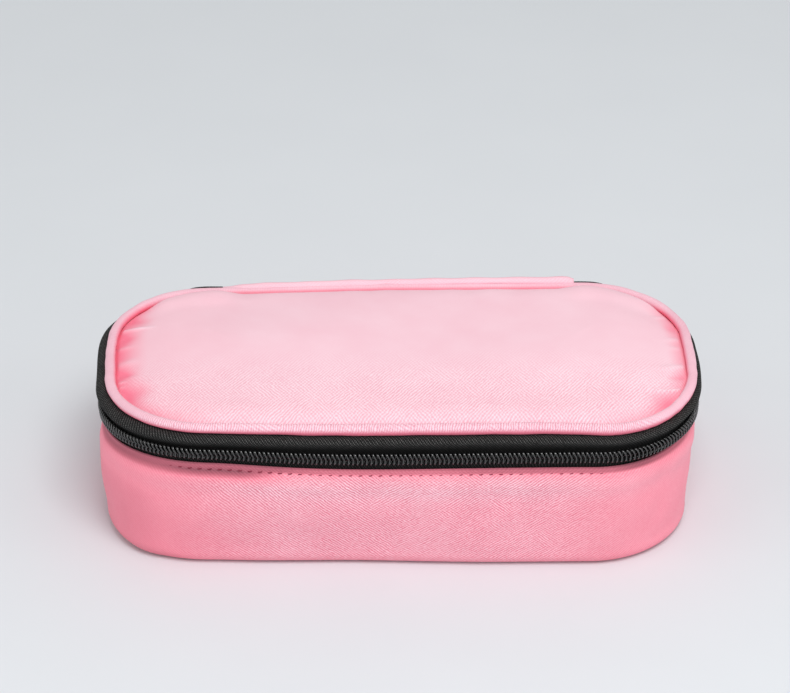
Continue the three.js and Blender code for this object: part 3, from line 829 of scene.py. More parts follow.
def hand_over(
    name: str, shape: Union[Form, bpy.types.Mesh], finish: bpy.types.Material, place: Place
) -> None:
    """Make a shape a piece of the case.

    Args:
        name: Name of the piece.
        shape: Its form in millimetres, or its mesh in metres, in the frame of the part.
        finish: Its material.
        place: Where it belongs.
    """
    mesh = shape.mesh(name) if isinstance(shape, Form) else shape
    mesh.name = name
    mesh.materials.clear()
    mesh.materials.append(finish)
    piece = put(name, mesh)
    if place.bends:
        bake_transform(piece)
    else:
        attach(piece, place.body.value)
    if place.node:
        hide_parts(place.node)
    log.info("%s: %d faces, on %s", name, len(mesh.polygons), place.body.value)


class NodeTree(Graph):
    """A geometry node tree with named inputs."""

    def __init__(self, name: str, **inputs: str) -> None:
        """Start a tree with the names and kinds of its inputs."""
        super().__init__(bpy.data.node_groups.new(name, "GeometryNodeTree"))
        for label, kind in inputs.items():
            self.tree.interface.new_socket(label, in_out="INPUT", socket_type=f"NodeSocket{kind}")
        self.tree.interface.new_socket("result", in_out="OUTPUT", socket_type="NodeSocketGeometry")
        self.ports = self.node("NodeGroupInput").outputs

    def close(self, geometry: Any) -> None:
        """Make the geometry real, give it the finish and pass it out."""
        real = self.add("GeometryNodeRealizeInstances", {0: geometry})
        inputs = {"Geometry": real, "Material": self.ports["finish"]}
        self.node("NodeGroupOutput", {0: self.add("GeometryNodeSetMaterial", inputs)})

    def grow(self, carrier: bpy.types.Mesh, **values: Any) -> bpy.types.Mesh:
        """Run the tree on a mesh.

        Args:
            carrier: The mesh that the tree starts from.
            values: Values of the named inputs.

        Returns:
            The result as a plain mesh.
        """
        bench = put("bench", carrier)
        modifier = bench.modifiers.new("grow", "NODES")
        modifier.node_group = self.tree
        for item in self.tree.interface.items_tree:
            if item.in_out == "INPUT" and item.name in values:
                modifier[item.identifier] = values[item.name]
        graph = bpy.context.evaluated_depsgraph_get()
        grown = bpy.data.meshes.new_from_object(
            bench.evaluated_get(graph), preserve_all_data_layers=True, depsgraph=graph
        )
        bpy.data.objects.remove(bench)
        return grown


class Repeater(NodeTree):
    """Sets copies of a small shape along a line, each facing into the case."""

    def __init__(self) -> None:
        """Build the tree."""
        super().__init__(
            "repeat_along_line", line="Geometry", unit="Object", spacing="Float", finish="Material"
        )
        ports = self.ports
        curve = self.add("GeometryNodeMeshToCurve", {0: ports["line"]})
        spaced = {"Curve": curve, "Length": ports["spacing"]}
        even = self.add("GeometryNodeResampleCurve", spaced, mode="LENGTH")
        tangent = self.add("GeometryNodeInputTangent")
        named = self.node("GeometryNodeInputNamedAttribute", {"Name": "inward"}, data_type="FLOAT_VECTOR")
        inward = named.outputs["Attribute"]
        align = "FunctionNodeAlignRotationToVector"
        along = self.add(align, {"Vector": tangent}, axis="X")
        facing = self.add(align, {"Rotation": along, "Vector": inward}, axis="Y", pivot_axis="X")
        unit = self.node("GeometryNodeObjectInfo", {"Object": ports["unit"]}).outputs["Geometry"]
        inputs = {"Points": even, "Instance": unit, "Rotation": facing}
        self.close(self.add("GeometryNodeInstanceOnPoints", inputs))

    def row(
        self, line: np.ndarray, inward: np.ndarray, unit: Form, spacing: float, finish: bpy.types.Material
    ) -> bpy.types.Mesh:
        """Set a row of copies.

        Args:
            line: Points of the line, in millimetres.
            inward: Direction into the case at each point.
            unit: The shape to repeat: x along the line, y into the case, z up.
            spacing: Distance between copies, in millimetres.
            finish: Material of the copies.

        Returns:
            All the copies as one mesh.
        """
        carrier = bpy.data.meshes.new("line")
        edges = [(index, index + 1) for index in range(len(line) - 1)]
        carrier.from_pydata((line * MM).tolist(), edges, [])
        way = carrier.attributes.new("inward", "FLOAT_VECTOR", "POINT")
        way.data.foreach_set("vector", inward.astype(np.float32).ravel())
        shape = put("unit", unit.mesh("unit"))
        grown = self.grow(carrier, unit=shape, spacing=spacing * MM, finish=finish)
        bpy.data.objects.remove(shape)
        return grown


class Netting(NodeTree):
    """Turns the edges of a mesh into yarn."""

    def __init__(self) -> None:
        """Build the tree."""
        super().__init__("yarn_on_edges", edges="Geometry", yarn="Float", finish="Material")
        curve = self.add("GeometryNodeMeshToCurve", {0: self.ports["edges"]})
        ring = self.add("GeometryNodeCurvePrimitiveCircle", {"Resolution": 4, "Radius": self.ports["yarn"]})
        self.close(self.add("GeometryNodeCurveToMesh", {"Curve": curve, "Profile Curve": ring}))


def tube(line: np.ndarray, side: np.ndarray, rise: np.ndarray, radius: np.ndarray, sides: int) -> Form:
    """Wrap a skin about a line.

    Args:
        line: Points along the middle.
        side: Half axis of the section at each point.
        rise: The other half axis.
        radius: What both are multiplied by at each point.
        sides: Faces round it.

    Returns:
        The tube, with closed ends.
    """
    angle = full_turn(sides)[:, None, None]
    ring = np.cos(angle) * side + np.sin(angle) * rise
    grid = line[None] + ring * radius[None, :, None]
    return Form.grid(grid, lengths(line), np.arange(sides + 1) * radius.mean(), (True, False))


def stitch(length: float, radius: float) -> Form:
    """Return one stitch that dips into the cloth at both ends."""
    share = np.linspace(-1.0, 1.0, 7)
    line = np.stack([share * length / 2.0, radius * (1.6 * share**4 - 0.5), 0.12 * share], axis=1)
    ahead = normed(np.gradient(line, axis=0))
    side = normed(np.cross(ahead, (0.0, 0.0, 1.0)) + 1e-9)
    return tube(line, side, np.cross(side, ahead), radius * (1.0 - 0.35 * share**4), 6)


def level_fill(ring: np.ndarray, rows: int) -> np.ndarray:
    """Return rows of points from just inside a level loop to the middle line of the case."""
    reach = LINE.half_length - LINE.half_depth
    middle = ring.copy()
    middle[:, 0] = np.clip(ring[:, 0], -reach, reach)
    middle[:, 1] = 0.0
    share = np.linspace(0.0, 1.0, rows + 1)[1:, None, None]
    return ring[None] + (middle - ring)[None] * share


def filled(walls: np.ndarray, below: int, above: int) -> np.ndarray:
    """Return the rows of a wall, with rows that close its first and last loop."""
    return np.concatenate([level_fill(walls[0], below)[::-1], walls, level_fill(walls[-1], above)])


# Sub-assemblies


@dataclass
class Heights:
    """Heights and insets that several sub-assemblies share."""

    zip_z: float = 44.5
    rim_z: float = 40.5
    shell_inset: float = 0.7
    shell_wall: float = 1.3
    tape_inset: float = 2.2
    tape_wall: float = 0.8
    tape_foot: float = 32.5
    piping_z: float = 54.4
    piping_inset: float = 4.2
    piping_radius: float = 1.75
    groove_inset: float = 6.15
    floor_z: float = 6.5
    binding_top: float = 39.6
    lid_seam_z: float = 53.85
    lid_foot_z: float = 49.85
    lid_lining_z: float = 50.25
    hinge_half: float = 61.3

    @property
    def bend(self) -> tuple[tuple[float, float, float], tuple[float, float, float]]:
        """Return where cloth over the hinge starts and stops turning."""
        return (0.0, LINE.half_depth, self.zip_z - 5.5), (0.0, LINE.half_depth, self.zip_z + 5.5)


H = Heights()


@dataclass
class Tub:
    """The padded tub: outer cloth, foam, film, binding and rim stitching."""

    finishes: Finishes
    repeater: Repeater
    bottom_radius: float = 5.0
    least_radius: float = 1.2
    bottom_taper: float = 1.7
    lining_lean: float = 2.7
    rim_fold: float = 0.65
    fold_span: tuple[float, float] = (-24.0, -46.0)
    corner_span: tuple[float, float] = (66.0, 92.0)
    stitch_drop: float = 2.2
    stitch_spacing: float = 3.3
    columns: int = 560
    binding_columns: int = 420

    @property
    def seam(self) -> float:
        """Return the height of the stitches under the rim."""
        return H.rim_z - self.stitch_drop

    def layer(self, offset: float, rim_inset: float, top: float, steps: int) -> np.ndarray:
        """Give the side of one nested layer.

        Args:
            offset: How far the layer is inside the outer cloth.
            rim_inset: Its inset at the top.
            top: Its height.
            steps: Rows in the wall.

        Returns:
            Rows of inset and height from the floor to the top.
        """
        radius = max(self.bottom_radius - offset, self.least_radius)
        foot = H.shell_inset + self.bottom_taper + offset
        turn = np.linspace(0.0, math.pi / 2.0, 9)
        fillet = np.stack([foot + radius * (1 - np.sin(turn)), offset + radius * (1 - np.cos(turn))], 1)
        share = np.linspace(0.0, 1.0, steps + 1)[1:]
        inset = rim_inset + (foot - rim_inset) * (1.0 - share) ** 2
        wall = np.stack([inset, fillet[-1, 1] + (top - fillet[-1, 1]) * share], 1)
        return np.concatenate([fillet, wall])

    def tub(self, outside: np.ndarray, inside: np.ndarray, count: int) -> Form:
        """Skin a tub with flat floors.

        Args:
            outside: Outer side, from the floor to the rim.
            inside: Inner side, from the floor to the rim.
            count: Columns round the tub.

        Returns:
            The closed form.
        """
        below, above = 9, 7
        track = Track.around(count)
        side = np.concatenate([outside, inside[::-1]])
        grid = filled(track.section(side), below, above)
        v = np.concatenate([np.zeros(below), lengths(side), np.zeros(above)])
        level = [*range(below), *range(len(grid) - above - 1, len(grid))]
        return Form.grid(grid, np.append(track.run, LINE.total), v, (False, True), level)

    def lining(self, outer: float, inner: float, steps: int, count: int) -> Form:
        """Return a layer between two offsets from the outer cloth."""
        top = H.binding_top - 1.0
        sides = [self.layer(offset, offset + self.lining_lean, top, steps) for offset in (outer, inner)]
        return self.tub(*sides, count)

    def dents(self, form: Form) -> np.ndarray:
        """Return how far the outer cloth swells: belly, puckers, and dents along the stitches."""
        x, y, z = form.points.T
        edge = np.maximum(np.abs(x) / LINE.half_length, np.abs(y) / LINE.half_depth)
        wall = smooth(z, 3.0, 10.0) * smooth(edge, 0.7, 0.85)
        soft = 0.26 * Ripple(34.0, 3)(form.points) + 0.1 * Ripple(13.0, 5)(form.points)
        corner = smooth(np.abs(x), *self.corner_span)
        pucker = 0.14 * corner * Ripple(9.0, 8)(form.points * (1.0, 1.0, 0.25)) * smooth(z, 40.0, 30.0)
        belly = 0.35 * bell(z, 22.0, 11.0)
        pulled = 0.42 * bell(z, self.seam - 5.0, 3.2) - 0.6 * smooth(z, self.seam - 0.3, H.rim_z - 0.6)
        pulled -= (0.3 + 0.3 * corner) * bell(z, self.seam, 0.6)
        pulled -= 0.35 * smooth(x, *self.fold_span) * bell(z, self.seam - 0.6, 1.3)
        amount = wall * (soft + pucker + belly) * smooth(z, H.rim_z, 33.0)
        return (amount + pulled * smooth(z, 26.0, 35.0)) * smooth(form.outward(), -1.0, 1.0)

    def shadows(self, points: np.ndarray) -> np.ndarray:
        """Return the painted shade of the outer cloth: its ends and foot, painted shadow on the rim and in
        the crease at the left, less on the band below the stitches.
        """
        x, z, seam = points[:, 0], points[:, 2], self.seam
        corner = smooth(np.abs(x), *self.corner_span)
        # Painted shadow on the rim under the zipper overhang, deeper at the left fold and at the right
        # corner, with a thin painted line of shade along the stitches.
        shade = 0.77 + 0.1 * smooth(x, *self.fold_span) + 0.06 * smooth(x, 10.0, 30.0)
        shade += 0.1 * bell(x, 82.0, 7.0)
        rim = shade * smooth(z, seam - 0.9, seam - 0.1)
        rim += 0.1 * smooth(z, H.rim_z - 0.9, H.rim_z) + 0.12 * bell(z, seam, 0.4) * (1.0 + corner)
        # Painted shadow of the fold below the stitches at the left front.
        crease = smooth(z, seam - 6.4, seam - 0.3) * smooth(z, seam + 1.6, seam + 0.3)
        deepest = smooth(x, -22.0, -56.0) * (1.0 - 0.07 * smooth(x, -68.0, -84.0))
        # Painted shade at the ends, which get less light, and at the foot. There is less shade on the band
        # below the stitches, as a painted highlight.
        ends = 0.58 * smooth(-x, 36.0, 92.0) + 0.4 * smooth(x, 36.0, 92.0)
        under = 0.2 - 0.2 * bell(z, 32.0, 4.5) + 0.2 * smooth(z, seam - 3.0, seam - 0.8)
        under += 0.2 * smooth(z, 6.0, 0.5)
        return np.maximum(np.maximum(rim, deepest * crease), ends + under * (1.0 - ends))

    def outer_cloth(self) -> Form:
        """Return the outer cloth with its folded rim."""
        fold, top = self.rim_fold, H.rim_z - self.rim_fold
        outside = self.layer(0.0, H.shell_inset, top, 34)
        inside = self.layer(H.shell_wall, H.shell_inset + H.shell_wall, top, 6)
        turn = np.linspace(0.0, math.pi, 7)[1:-1]
        over = np.stack([H.shell_inset + fold * (1 - np.cos(turn)), top + fold * np.sin(turn)], axis=1)
        form = self.tub(np.concatenate([outside, over]), inside, self.columns)
        return form.swollen(self.dents(form)).shaded(self.shadows(form.points))

    def rim_stitches(self) -> bpy.types.Mesh:
        """Return the row of stitches under the rim."""
        track = Track.around(self.columns)
        line = track.section(np.array([[H.shell_inset + 0.3, self.seam]]))[0]
        sunk = 0.07 * Ripple(6.0, 9)(line) + 0.7 * smooth(np.abs(line[:, 0]), 64.0, 88.0)
        line[:, :2] -= track.out * sunk[:, None]
        line, inward = looped(settle(line)), looped(track.inward)
        return self.repeater.row(line, inward, stitch(1.4, 0.17), self.stitch_spacing, self.finishes.thread)

    def foam(self) -> Form:
        """Return the foam between the cloth and the film."""
        return self.lining(1.5, 5.5, 8, 220)

    def film(self) -> Form:
        """Return the creased film inside the foam."""
        form = self.lining(5.7, 6.5, 26, 360)
        low = smooth(form.points[:, 2], 36.0, 30.0)
        crumple = np.abs(Ripple(15.0, 21)(form.points)) + 0.5 * np.abs(Ripple(7.0, 22)(form.points))
        return form.swollen(0.45 * crumple * low * smooth(form.outward(), 1.0, -1.0))

    def binding(self) -> Form:
        """Return the tape folded over the edges of foam and film."""
        foot, top = H.binding_top - 6.0, H.binding_top - 0.4
        line = eased([(3.6, foot), (3.6, top), (9.8, top), (9.8, foot)], 1.6)
        return loft(Track.around(self.binding_columns), ribbon(divided(line, 1.5), 0.8))

    def binding_stitches(self) -> bpy.types.Mesh:
        """Return the stitches along the inside of the binding."""
        track = Track.around(self.binding_columns)
        line = settle(track.section(np.array([[10.25, H.binding_top - 4.6]]))[0])
        finish = self.finishes.black_thread
        return self.repeater.row(looped(line), looped(-track.inward), stitch(2.4, 0.2), 3.6, finish)

    def build(self) -> None:
        """Make the pieces of the tub."""
        dress, body = self.finishes, Body.BASE
        place = Place(body, Slot.TWILL, "base_shell").padded(0.85)
        hand_over("tub_cloth", self.outer_cloth().moved(settle), dress.base_twill, place)
        hand_over("tub_rim_stitches", self.rim_stitches(), dress.thread, Place(body, Slot.TWILL))
        place = Place(body, Slot.FOAM, "base_insulation").padded(1.0)
        hand_over("tub_foam", self.foam().moved(settle), dress.foam, place)
        place = Place(body, Slot.FOIL, "base_lining").sheet((250.0, 146.0), "tub_foam")
        hand_over("tub_film", self.film().moved(settle), dress.foil, place)
        place = Place(body, Slot.BINDING, "base_rim_binding")
        hand_over("tub_binding", self.binding().moved(settle), dress.binding, place)
        place = Place(body, Slot.BINDING)
        hand_over("tub_binding_stitches", self.binding_stitches(), dress.black_thread, place)


@dataclass(frozen=True)
class Fold:
    """A small fold of the lid cloth that starts at the piping and runs inwards."""

    run: float
    reach: float
    width: float
    rise: float
    lean: float = 0.0

    def height(self, run: np.ndarray, inside: np.ndarray) -> np.ndarray:
        """Return its height at distances along the outline and inside the groove."""
        fade = smooth(inside, 0.3, 1.8) * smooth(inside, self.reach, 0.4 * self.reach)
        return self.rise * bell(run, self.run + self.lean * inside, self.width) * fade


@dataclass
class Lid:
    """The padded lid: crowned cloth, piping, foam, film and binding."""

    finishes: Finishes
    ridges: tuple[Fold, ...] = (
        Fold(117.5, 14.0, 1.5, 0.6, -0.35),
        Fold(131.0, 8.0, 1.3, 0.3, -0.2),
        Fold(141.5, 10.0, 2.4, 0.45, -0.2),
        Fold(153.5, 5.0, 1.0, 0.4),
        Fold(157.0, 4.0, 1.0, 0.3),
        Fold(385.5, 14.0, 1.1, 0.55, -1.1),
        Fold(401.0, 13.0, 1.4, 0.4, -0.4),
        Fold(412.5, 7.0, 1.1, 0.2, -0.2),
        Fold(418.5, 8.0, 1.4, 0.3, -0.3),
        Fold(437.0, 8.0, 1.4, 0.25),
    )
    valleys: tuple[Fold, ...] = (
        Fold(107.0, 11.0, 4.5, 0.45),
        Fold(124.5, 9.0, 3.0, 0.35, -0.2),
        Fold(148.0, 9.0, 2.2, 0.4),
        Fold(165.0, 13.0, 7.0, 0.6),
        Fold(373.0, 11.0, 7.0, 0.5),
        Fold(394.5, 9.0, 2.4, 0.35, -0.6),
        Fold(427.0, 7.0, 4.0, 0.3),
    )
    crown: float = 3.4
    crown_run: float = 10.0
    end_run: float = 14.0
    dome: float = 1.5
    edge_inset: float = 5.7
    wall: float = 1.2
    columns: int = 900
    binding_columns: int = 420

    def depth_in(self, points: np.ndarray) -> np.ndarray:
        """Return how far points are inside the groove, in millimetres."""
        half = np.array([LINE.half_length, LINE.half_depth]) - self.edge_inset
        radius = LINE.corner - self.edge_inset
        reach = np.abs(points[:, :2]) - (half - radius)
        outside = np.linalg.norm(np.maximum(reach, 0.0), axis=1)
        return radius - outside - np.minimum(reach.max(axis=1), 0.0)

    def overlap(self, x: np.ndarray, y: np.ndarray) -> np.ndarray:
        """Return how much the cloth swells over the piping, which it does at the rear corners."""
        limit = np.where(x < 0.0, 89.0, 97.0)
        fade = smooth(np.abs(x), 54.0, 66.0) * (1.0 - smooth(np.abs(x) - limit, -9.0, 0.0))
        return fade * smooth(y, 24.0, 36.0)

    def rise(self, points: np.ndarray, run: np.ndarray) -> tuple[np.ndarray, np.ndarray]:
        """Find the height of the padded cloth over its groove.

        Args:
            points: Places on the lid.
            run: Distance of each place along the outline.

        Returns:
            The heights, and the painted shade at each place.
        """
        inside = np.clip(self.depth_in(points), 0.0, None)
        x, y = points[:, 0], points[:, 1]
        ends, back = smooth(np.abs(x), 58.0, 90.0), smooth(y, 20.0, 40.0)
        share = np.clip(inside / (self.crown_run + self.end_run * ends), 0.0, 1.0)
        puffed, sloped = np.sqrt(1.0 - (1.0 - share) ** 2), 1.0 - (1.0 - share) ** 2
        swell = self.crown * (puffed + (sloped - puffed) * ends) + self.dome * smooth(inside, 4.0, 44.0)
        ridge = sum(fold.height(run, inside) for fold in self.ridges)
        valley = sum(fold.height(run, inside) for fold in self.valleys)
        rows = Ripple(12.0, 37)(points * (1.0, 0.3, 0.0)) * bell(inside, 3.5, 3.5) * smooth(inside, 0.0, 2.0)
        soft = Ripple(46.0, 33)(points * (1.0, 1.0, 0.0)) * smooth(inside, 2.0, 16.0)
        over = self.overlap(x, y)
        seam = np.maximum(ends, back) * smooth(inside, 1.2, 0.3) * (1.0 - 0.8 * over)
        swell += 1.7 * over * smooth(inside, 0.0, 1.6) * smooth(inside, 14.0, 3.0)
        height = swell + ridge - valley - 0.45 * seam + 0.14 * rows * (1.0 - ends) + 0.3 * soft
        # Painted shade in the groove at the ends and in the valleys, a painted highlight on the ridges, and
        # more painted shade at the left end, the front and the back.
        shade = 0.5 * ends * smooth(inside, 7.0, 0.5) * (1.0 - over) + 0.9 * valley - 0.8 * ridge
        shade += 0.09 * smooth(-x, 46.0, 85.0) + 0.06 * smooth(-y, 18.0, 36.0)
        left = smooth(-x, 80.0, 90.0) * smooth(y, -28.0, -12.0) * smooth(y, 30.0, 16.0)
        shade += 0.42 * left * smooth(inside, 12.0, 4.0)
        behind = 0.25 * back * smooth(inside, 2.6, 0.5) * (1.0 - over)
        return height, np.maximum(shade, 0.65 * seam) + behind

    def cloth(self) -> Form:
        """Return the crowned cloth with its edge turned down into the seam."""
        track = Track.around(self.columns)
        wall, edge, foot = self.wall, self.edge_inset, H.lid_foot_z
        insets = edge + np.linspace(0.0, 1.0, 30) ** 1.6 * 28.0
        top = track.section(np.stack([insets, np.zeros_like(insets)], axis=1))
        top = np.concatenate([top, level_fill(top[-1], 12)])
        shape = top.shape[:2]
        height, painted_shade = self.rise(top.reshape(-1, 3), np.tile(track.run, len(top)))
        top[..., 2] = H.lid_seam_z + height.reshape(shape)
        under = np.concatenate([top[7::3], top[-1:]]) - (0.0, 0.0, wall)
        turned = [(edge, 52.6), (edge, foot + 0.4), (edge + 0.6, foot), (edge + wall, foot + 0.3)]
        seam = track.section(np.array([*turned, (edge + wall, H.lid_seam_z - 0.9)]))
        form = Form.shell(track, np.concatenate([top[::-1], seam, under]))
        unseen = np.zeros(len(form.points) - len(painted_shade))
        return form.shaded(np.concatenate([painted_shade.reshape(shape)[::-1].ravel(), unseen]))

    def piping(self) -> Form:
        """Return the corded piping, lapped over itself at the middle of the back."""
        angle = full_turn(18)
        inset, rise = H.piping_inset - H.piping_radius * np.cos(angle), H.piping_radius * np.sin(angle)
        form = loft(Track.around(self.columns), np.stack([inset, H.piping_z + rise], axis=1))
        x, y, z = form.points.T
        lap = (y > 0) * (bell(x, -4.0, 3.2) + 0.5 * bell(x, 3.0, 2.4)) * smooth(z, 52.6, 55.0)
        waver = 0.09 * Ripple(16.0, 41)(form.points)
        ends = 0.06 * smooth(np.abs(x), 70.0, 92.0) * Ripple(6.0, 43)(form.points)
        # Painted shade on the inner and lower flanks of the cord, less where the cloth lies over it.
        flank = 0.7 * smooth(-np.cos(angle), 0.55, 1.0) + smooth(np.sin(angle), 0.35, -0.45)
        shade = np.repeat(flank, self.columns) * (1.0 - 0.85 * self.overlap(x, y))
        form = form.swollen(0.35 * lap + waver + ends).shaded(shade)
        sag = 0.32 * smooth(x, -62.0, -30.0) * smooth(y, -20.0, -40.0)
        form.points[:, 2] -= sag * np.clip(H.piping_z - z, 0.0, None)
        return form

    def foam(self) -> Form:
        """Return the foam slab under the cloth."""
        turn = np.linspace(0.0, math.pi / 2.0, 8)
        inset, run, edge, foot, rise = 7.7, 24.0, 52.2, 51.25, 3.0
        over = np.stack([inset + run * (1 - np.cos(turn)), edge + rise * np.sin(turn)], axis=1)
        return self.slab(np.concatenate([[[inset, foot]], over]), 200)

    def film(self) -> Form:
        """Return the film under the foam."""
        foot = H.lid_lining_z
        line = np.array([[7.8, foot], [7.55, foot + 0.4], [7.8, foot + 0.8]])
        return self.slab(line, 320)

    def slab(self, side: np.ndarray, count: int) -> Form:
        """Skin a flat slab from the insets and heights of its side."""
        track = Track.around(count)
        return Form.shell(track, filled(track.section(side), 10, 10))

    def binding(self) -> Form:
        """Return the tape folded round the raw edges of the seam."""
        foot, top = H.lid_foot_z - 0.6, H.lid_lining_z - 0.2
        line = eased([(5.55, top), (5.55, foot), (8.75, foot), (8.75, top)], 0.6)
        return loft(Track.around(self.binding_columns), ribbon(line, 0.8))

    def build(self) -> None:
        """Make the pieces of the lid."""
        dress, body = self.finishes, Body.LID
        place = Place(body, Slot.TWILL, "lid_panel").padded(0.75)
        hand_over("lid_cloth", self.cloth().moved(settle), dress.lid_twill, place)
        place = Place(body, Slot.PIPING, "lid_piping")
        hand_over("lid_piping_cord", self.piping().moved(settle), dress.piping, place)
        place = Place(body, Slot.FOAM, "lid_insulation").padded(1.0)
        hand_over("lid_foam", self.foam().moved(settle), dress.foam, place)
        place = Place(body, Slot.FOIL, "lid_lining").sheet((189.4, 84.4), "lid_foam", held="laid")
        hand_over("lid_film", self.film().moved(settle), dress.foil, place)
        place = Place(body, Slot.BINDING, "lid_rim_binding")
        hand_over("lid_binding", self.binding().moved(settle), dress.binding, place)


@dataclass
class Zipper:
    """The coil zipper: two woven tapes and two spirals that hook into each other."""

    finishes: Finishes
    repeater: Repeater
    pitch: float = 1.5
    yarn: float = 0.3
    spiral_half: float = 1.1
    spiral_deep: float = 0.7
    spiral_inset: float = 1.25
    row_offset: float = 0.95
    slant: float = 0.34
    end_gap: float = 3.0
    parting: float = 1.2
    slider_length: float = 11.0
    park_degrees: float = 48.0
    before_corner: float = 3.0

    @property
    def start(self) -> float:
        """Return where the zipper starts, along the outline."""
        return LINE.corner_x - self.before_corner

    @property
    def end(self) -> float:
        """Return where the zipper ends, along the outline."""
        return LINE.total - self.start

    @property
    def parked(self) -> float:
        """Return where the slider is parked, along the outline."""
        past = LINE.corner * (math.pi / 2.0 - math.radians(self.park_degrees))
        return self.end - self.before_corner - past

    def turn(self, side: int) -> Form:
        """Return one turn of a spiral, pressed flat where it bends round the edge of its row.

        Args:
            side: 1 for the row of the lid and -1 for the row of the tub.

        Returns:
            The turn: x along the zipper, y into the case, z up.
        """
        share = np.linspace(0.0, 1.0, 13)
        angle = 2.0 * math.pi * share
        z = self.spiral_half * np.sin(angle)
        x = self.pitch * (share - 0.5) - side * self.slant * z
        line = np.stack([x, self.spiral_deep * np.cos(angle), z], axis=1)
        ahead = np.gradient(line, axis=0)
        ahead[0] = ahead[-1] = line[1] - line[0] + line[-1] - line[-2]
        ahead = normed(ahead)
        across = np.tile((1.0, 0.0, 0.0), (len(line), 1))
        across = normed(across - ahead * np.einsum("ij,ij->i", across, ahead)[:, None])
        rise = np.cross(ahead, across)
        pressed = bell(side * z, self.spiral_half, 0.4)[:, None]
        across, rise = across * (1.0 + 0.65 * pressed), rise * (1.0 - 0.4 * pressed)
        return tube(line, across, rise, np.full(len(line), self.yarn), 6)

    def spiral(self, side: int) -> bpy.types.Mesh:
        """Return one row of turns: 1 for the row of the lid and -1 for the row of the tub."""
        turns = math.floor((self.end - self.start - 2.0 * self.end_gap) / self.pitch) - 1
        first = self.start + self.end_gap + self.pitch
        track = Track.between(first, first + turns * self.pitch, self.pitch / 2.0)
        past = track.run - self.parked + self.slider_length / 2.0
        apart = self.parting * smooth(past, 0.0, self.slider_length / 2.0)
        line = track.section(np.array([[self.spiral_inset, H.zip_z]]))[0]
        line[:, 2] += side * (self.row_offset + apart)
        return self.repeater.row(settle(line), track.inward, self.turn(side), self.pitch, self.finishes.coil)

    def lower_tape(self) -> Form:
        """Return the tape that stands behind the rim of the tub."""
        inset = H.tape_inset + H.tape_wall / 2.0
        line = np.array([[inset, H.tape_foot], [inset, H.zip_z - 1.4]])
        form = loft(Track.between(self.start, self.end, 1.2), ribbon(divided(line, 1.5), H.tape_wall))
        # The tape is painted darker all over, as painted shade behind the rim.
        return form.shaded(np.full(len(form.points), 0.6))

    def upper_tape(self) -> Form:
        """Return the tape that bows out and tucks in under the piping."""
        top = H.piping_z - H.piping_radius - 0.2 - H.tape_wall / 2.0
        inset = H.tape_inset + H.tape_wall / 2.0
        corners = [
            (inset, H.zip_z + 1.4),
            (inset - 0.05, H.zip_z + 2.8),
            (inset - 0.7, H.zip_z + 4.2),
            (inset - 1.4, top - 2.0),
            (inset - 1.5, top - 1.2),
            (inset - 0.8, top - 0.25),
            (inset + 0.6, top),
            (H.groove_inset - 0.4, top),
        ]
        line = divided(eased(corners, 1.2), 0.6)
        form = loft(Track.between(self.start, self.end, 1.0), ribbon(line, H.tape_wall))
        x, y, z = form.points.T
        soft = 0.14 * Ripple(24.0, 51)(form.points * (1.0, 1.0, 0.3)) * bell(z, H.zip_z + 5.5, 2.4)
        left = 0.9 * smooth(x, -60.0, -84.0) * smooth(y, -26.0, 10.0) * bell(z, top - 1.5, 2.2)
        form = form.swollen(soft + left)
        tail = smooth(np.abs(x), 96.0, 72.0) * smooth(y, 46.6, 48.6) * smooth(z, H.zip_z + 3.0, top - 1.0)
        sewn = smooth(x, -62.0, -30.0) * smooth(y, -20.0, -40.0) * smooth(z, top - 2.5, top - 0.5)
        form.points[:, 2] += 3.4 * tail - 0.45 * sewn
        # Painted shade, darker towards the coil.
        return form.shaded(0.9 * smooth(z, H.zip_z + 7.0, H.zip_z + 2.3))

    def build(self) -> None:
        """Make the pieces of the zipper."""
        tape, coil = self.finishes.tape, self.finishes.coil
        place = Place(Body.BASE, Slot.TAPE, "zipper_tape_base")
        hand_over("zip_tape_lower", self.lower_tape().moved(settle), tape, place)
        place = Place(Body.LID, Slot.TAPE, "zipper_tape_lid")
        hand_over("zip_tape_upper", self.upper_tape().moved(settle), tape, place)
        hand_over("zip_spiral_lower", self.spiral(-1), coil, Place(Body.BASE, Slot.COIL, "zipper_coil_base"))
        hand_over("zip_spiral_upper", self.spiral(1), coil, Place(Body.LID, Slot.COIL, "zipper_coil_lid"))


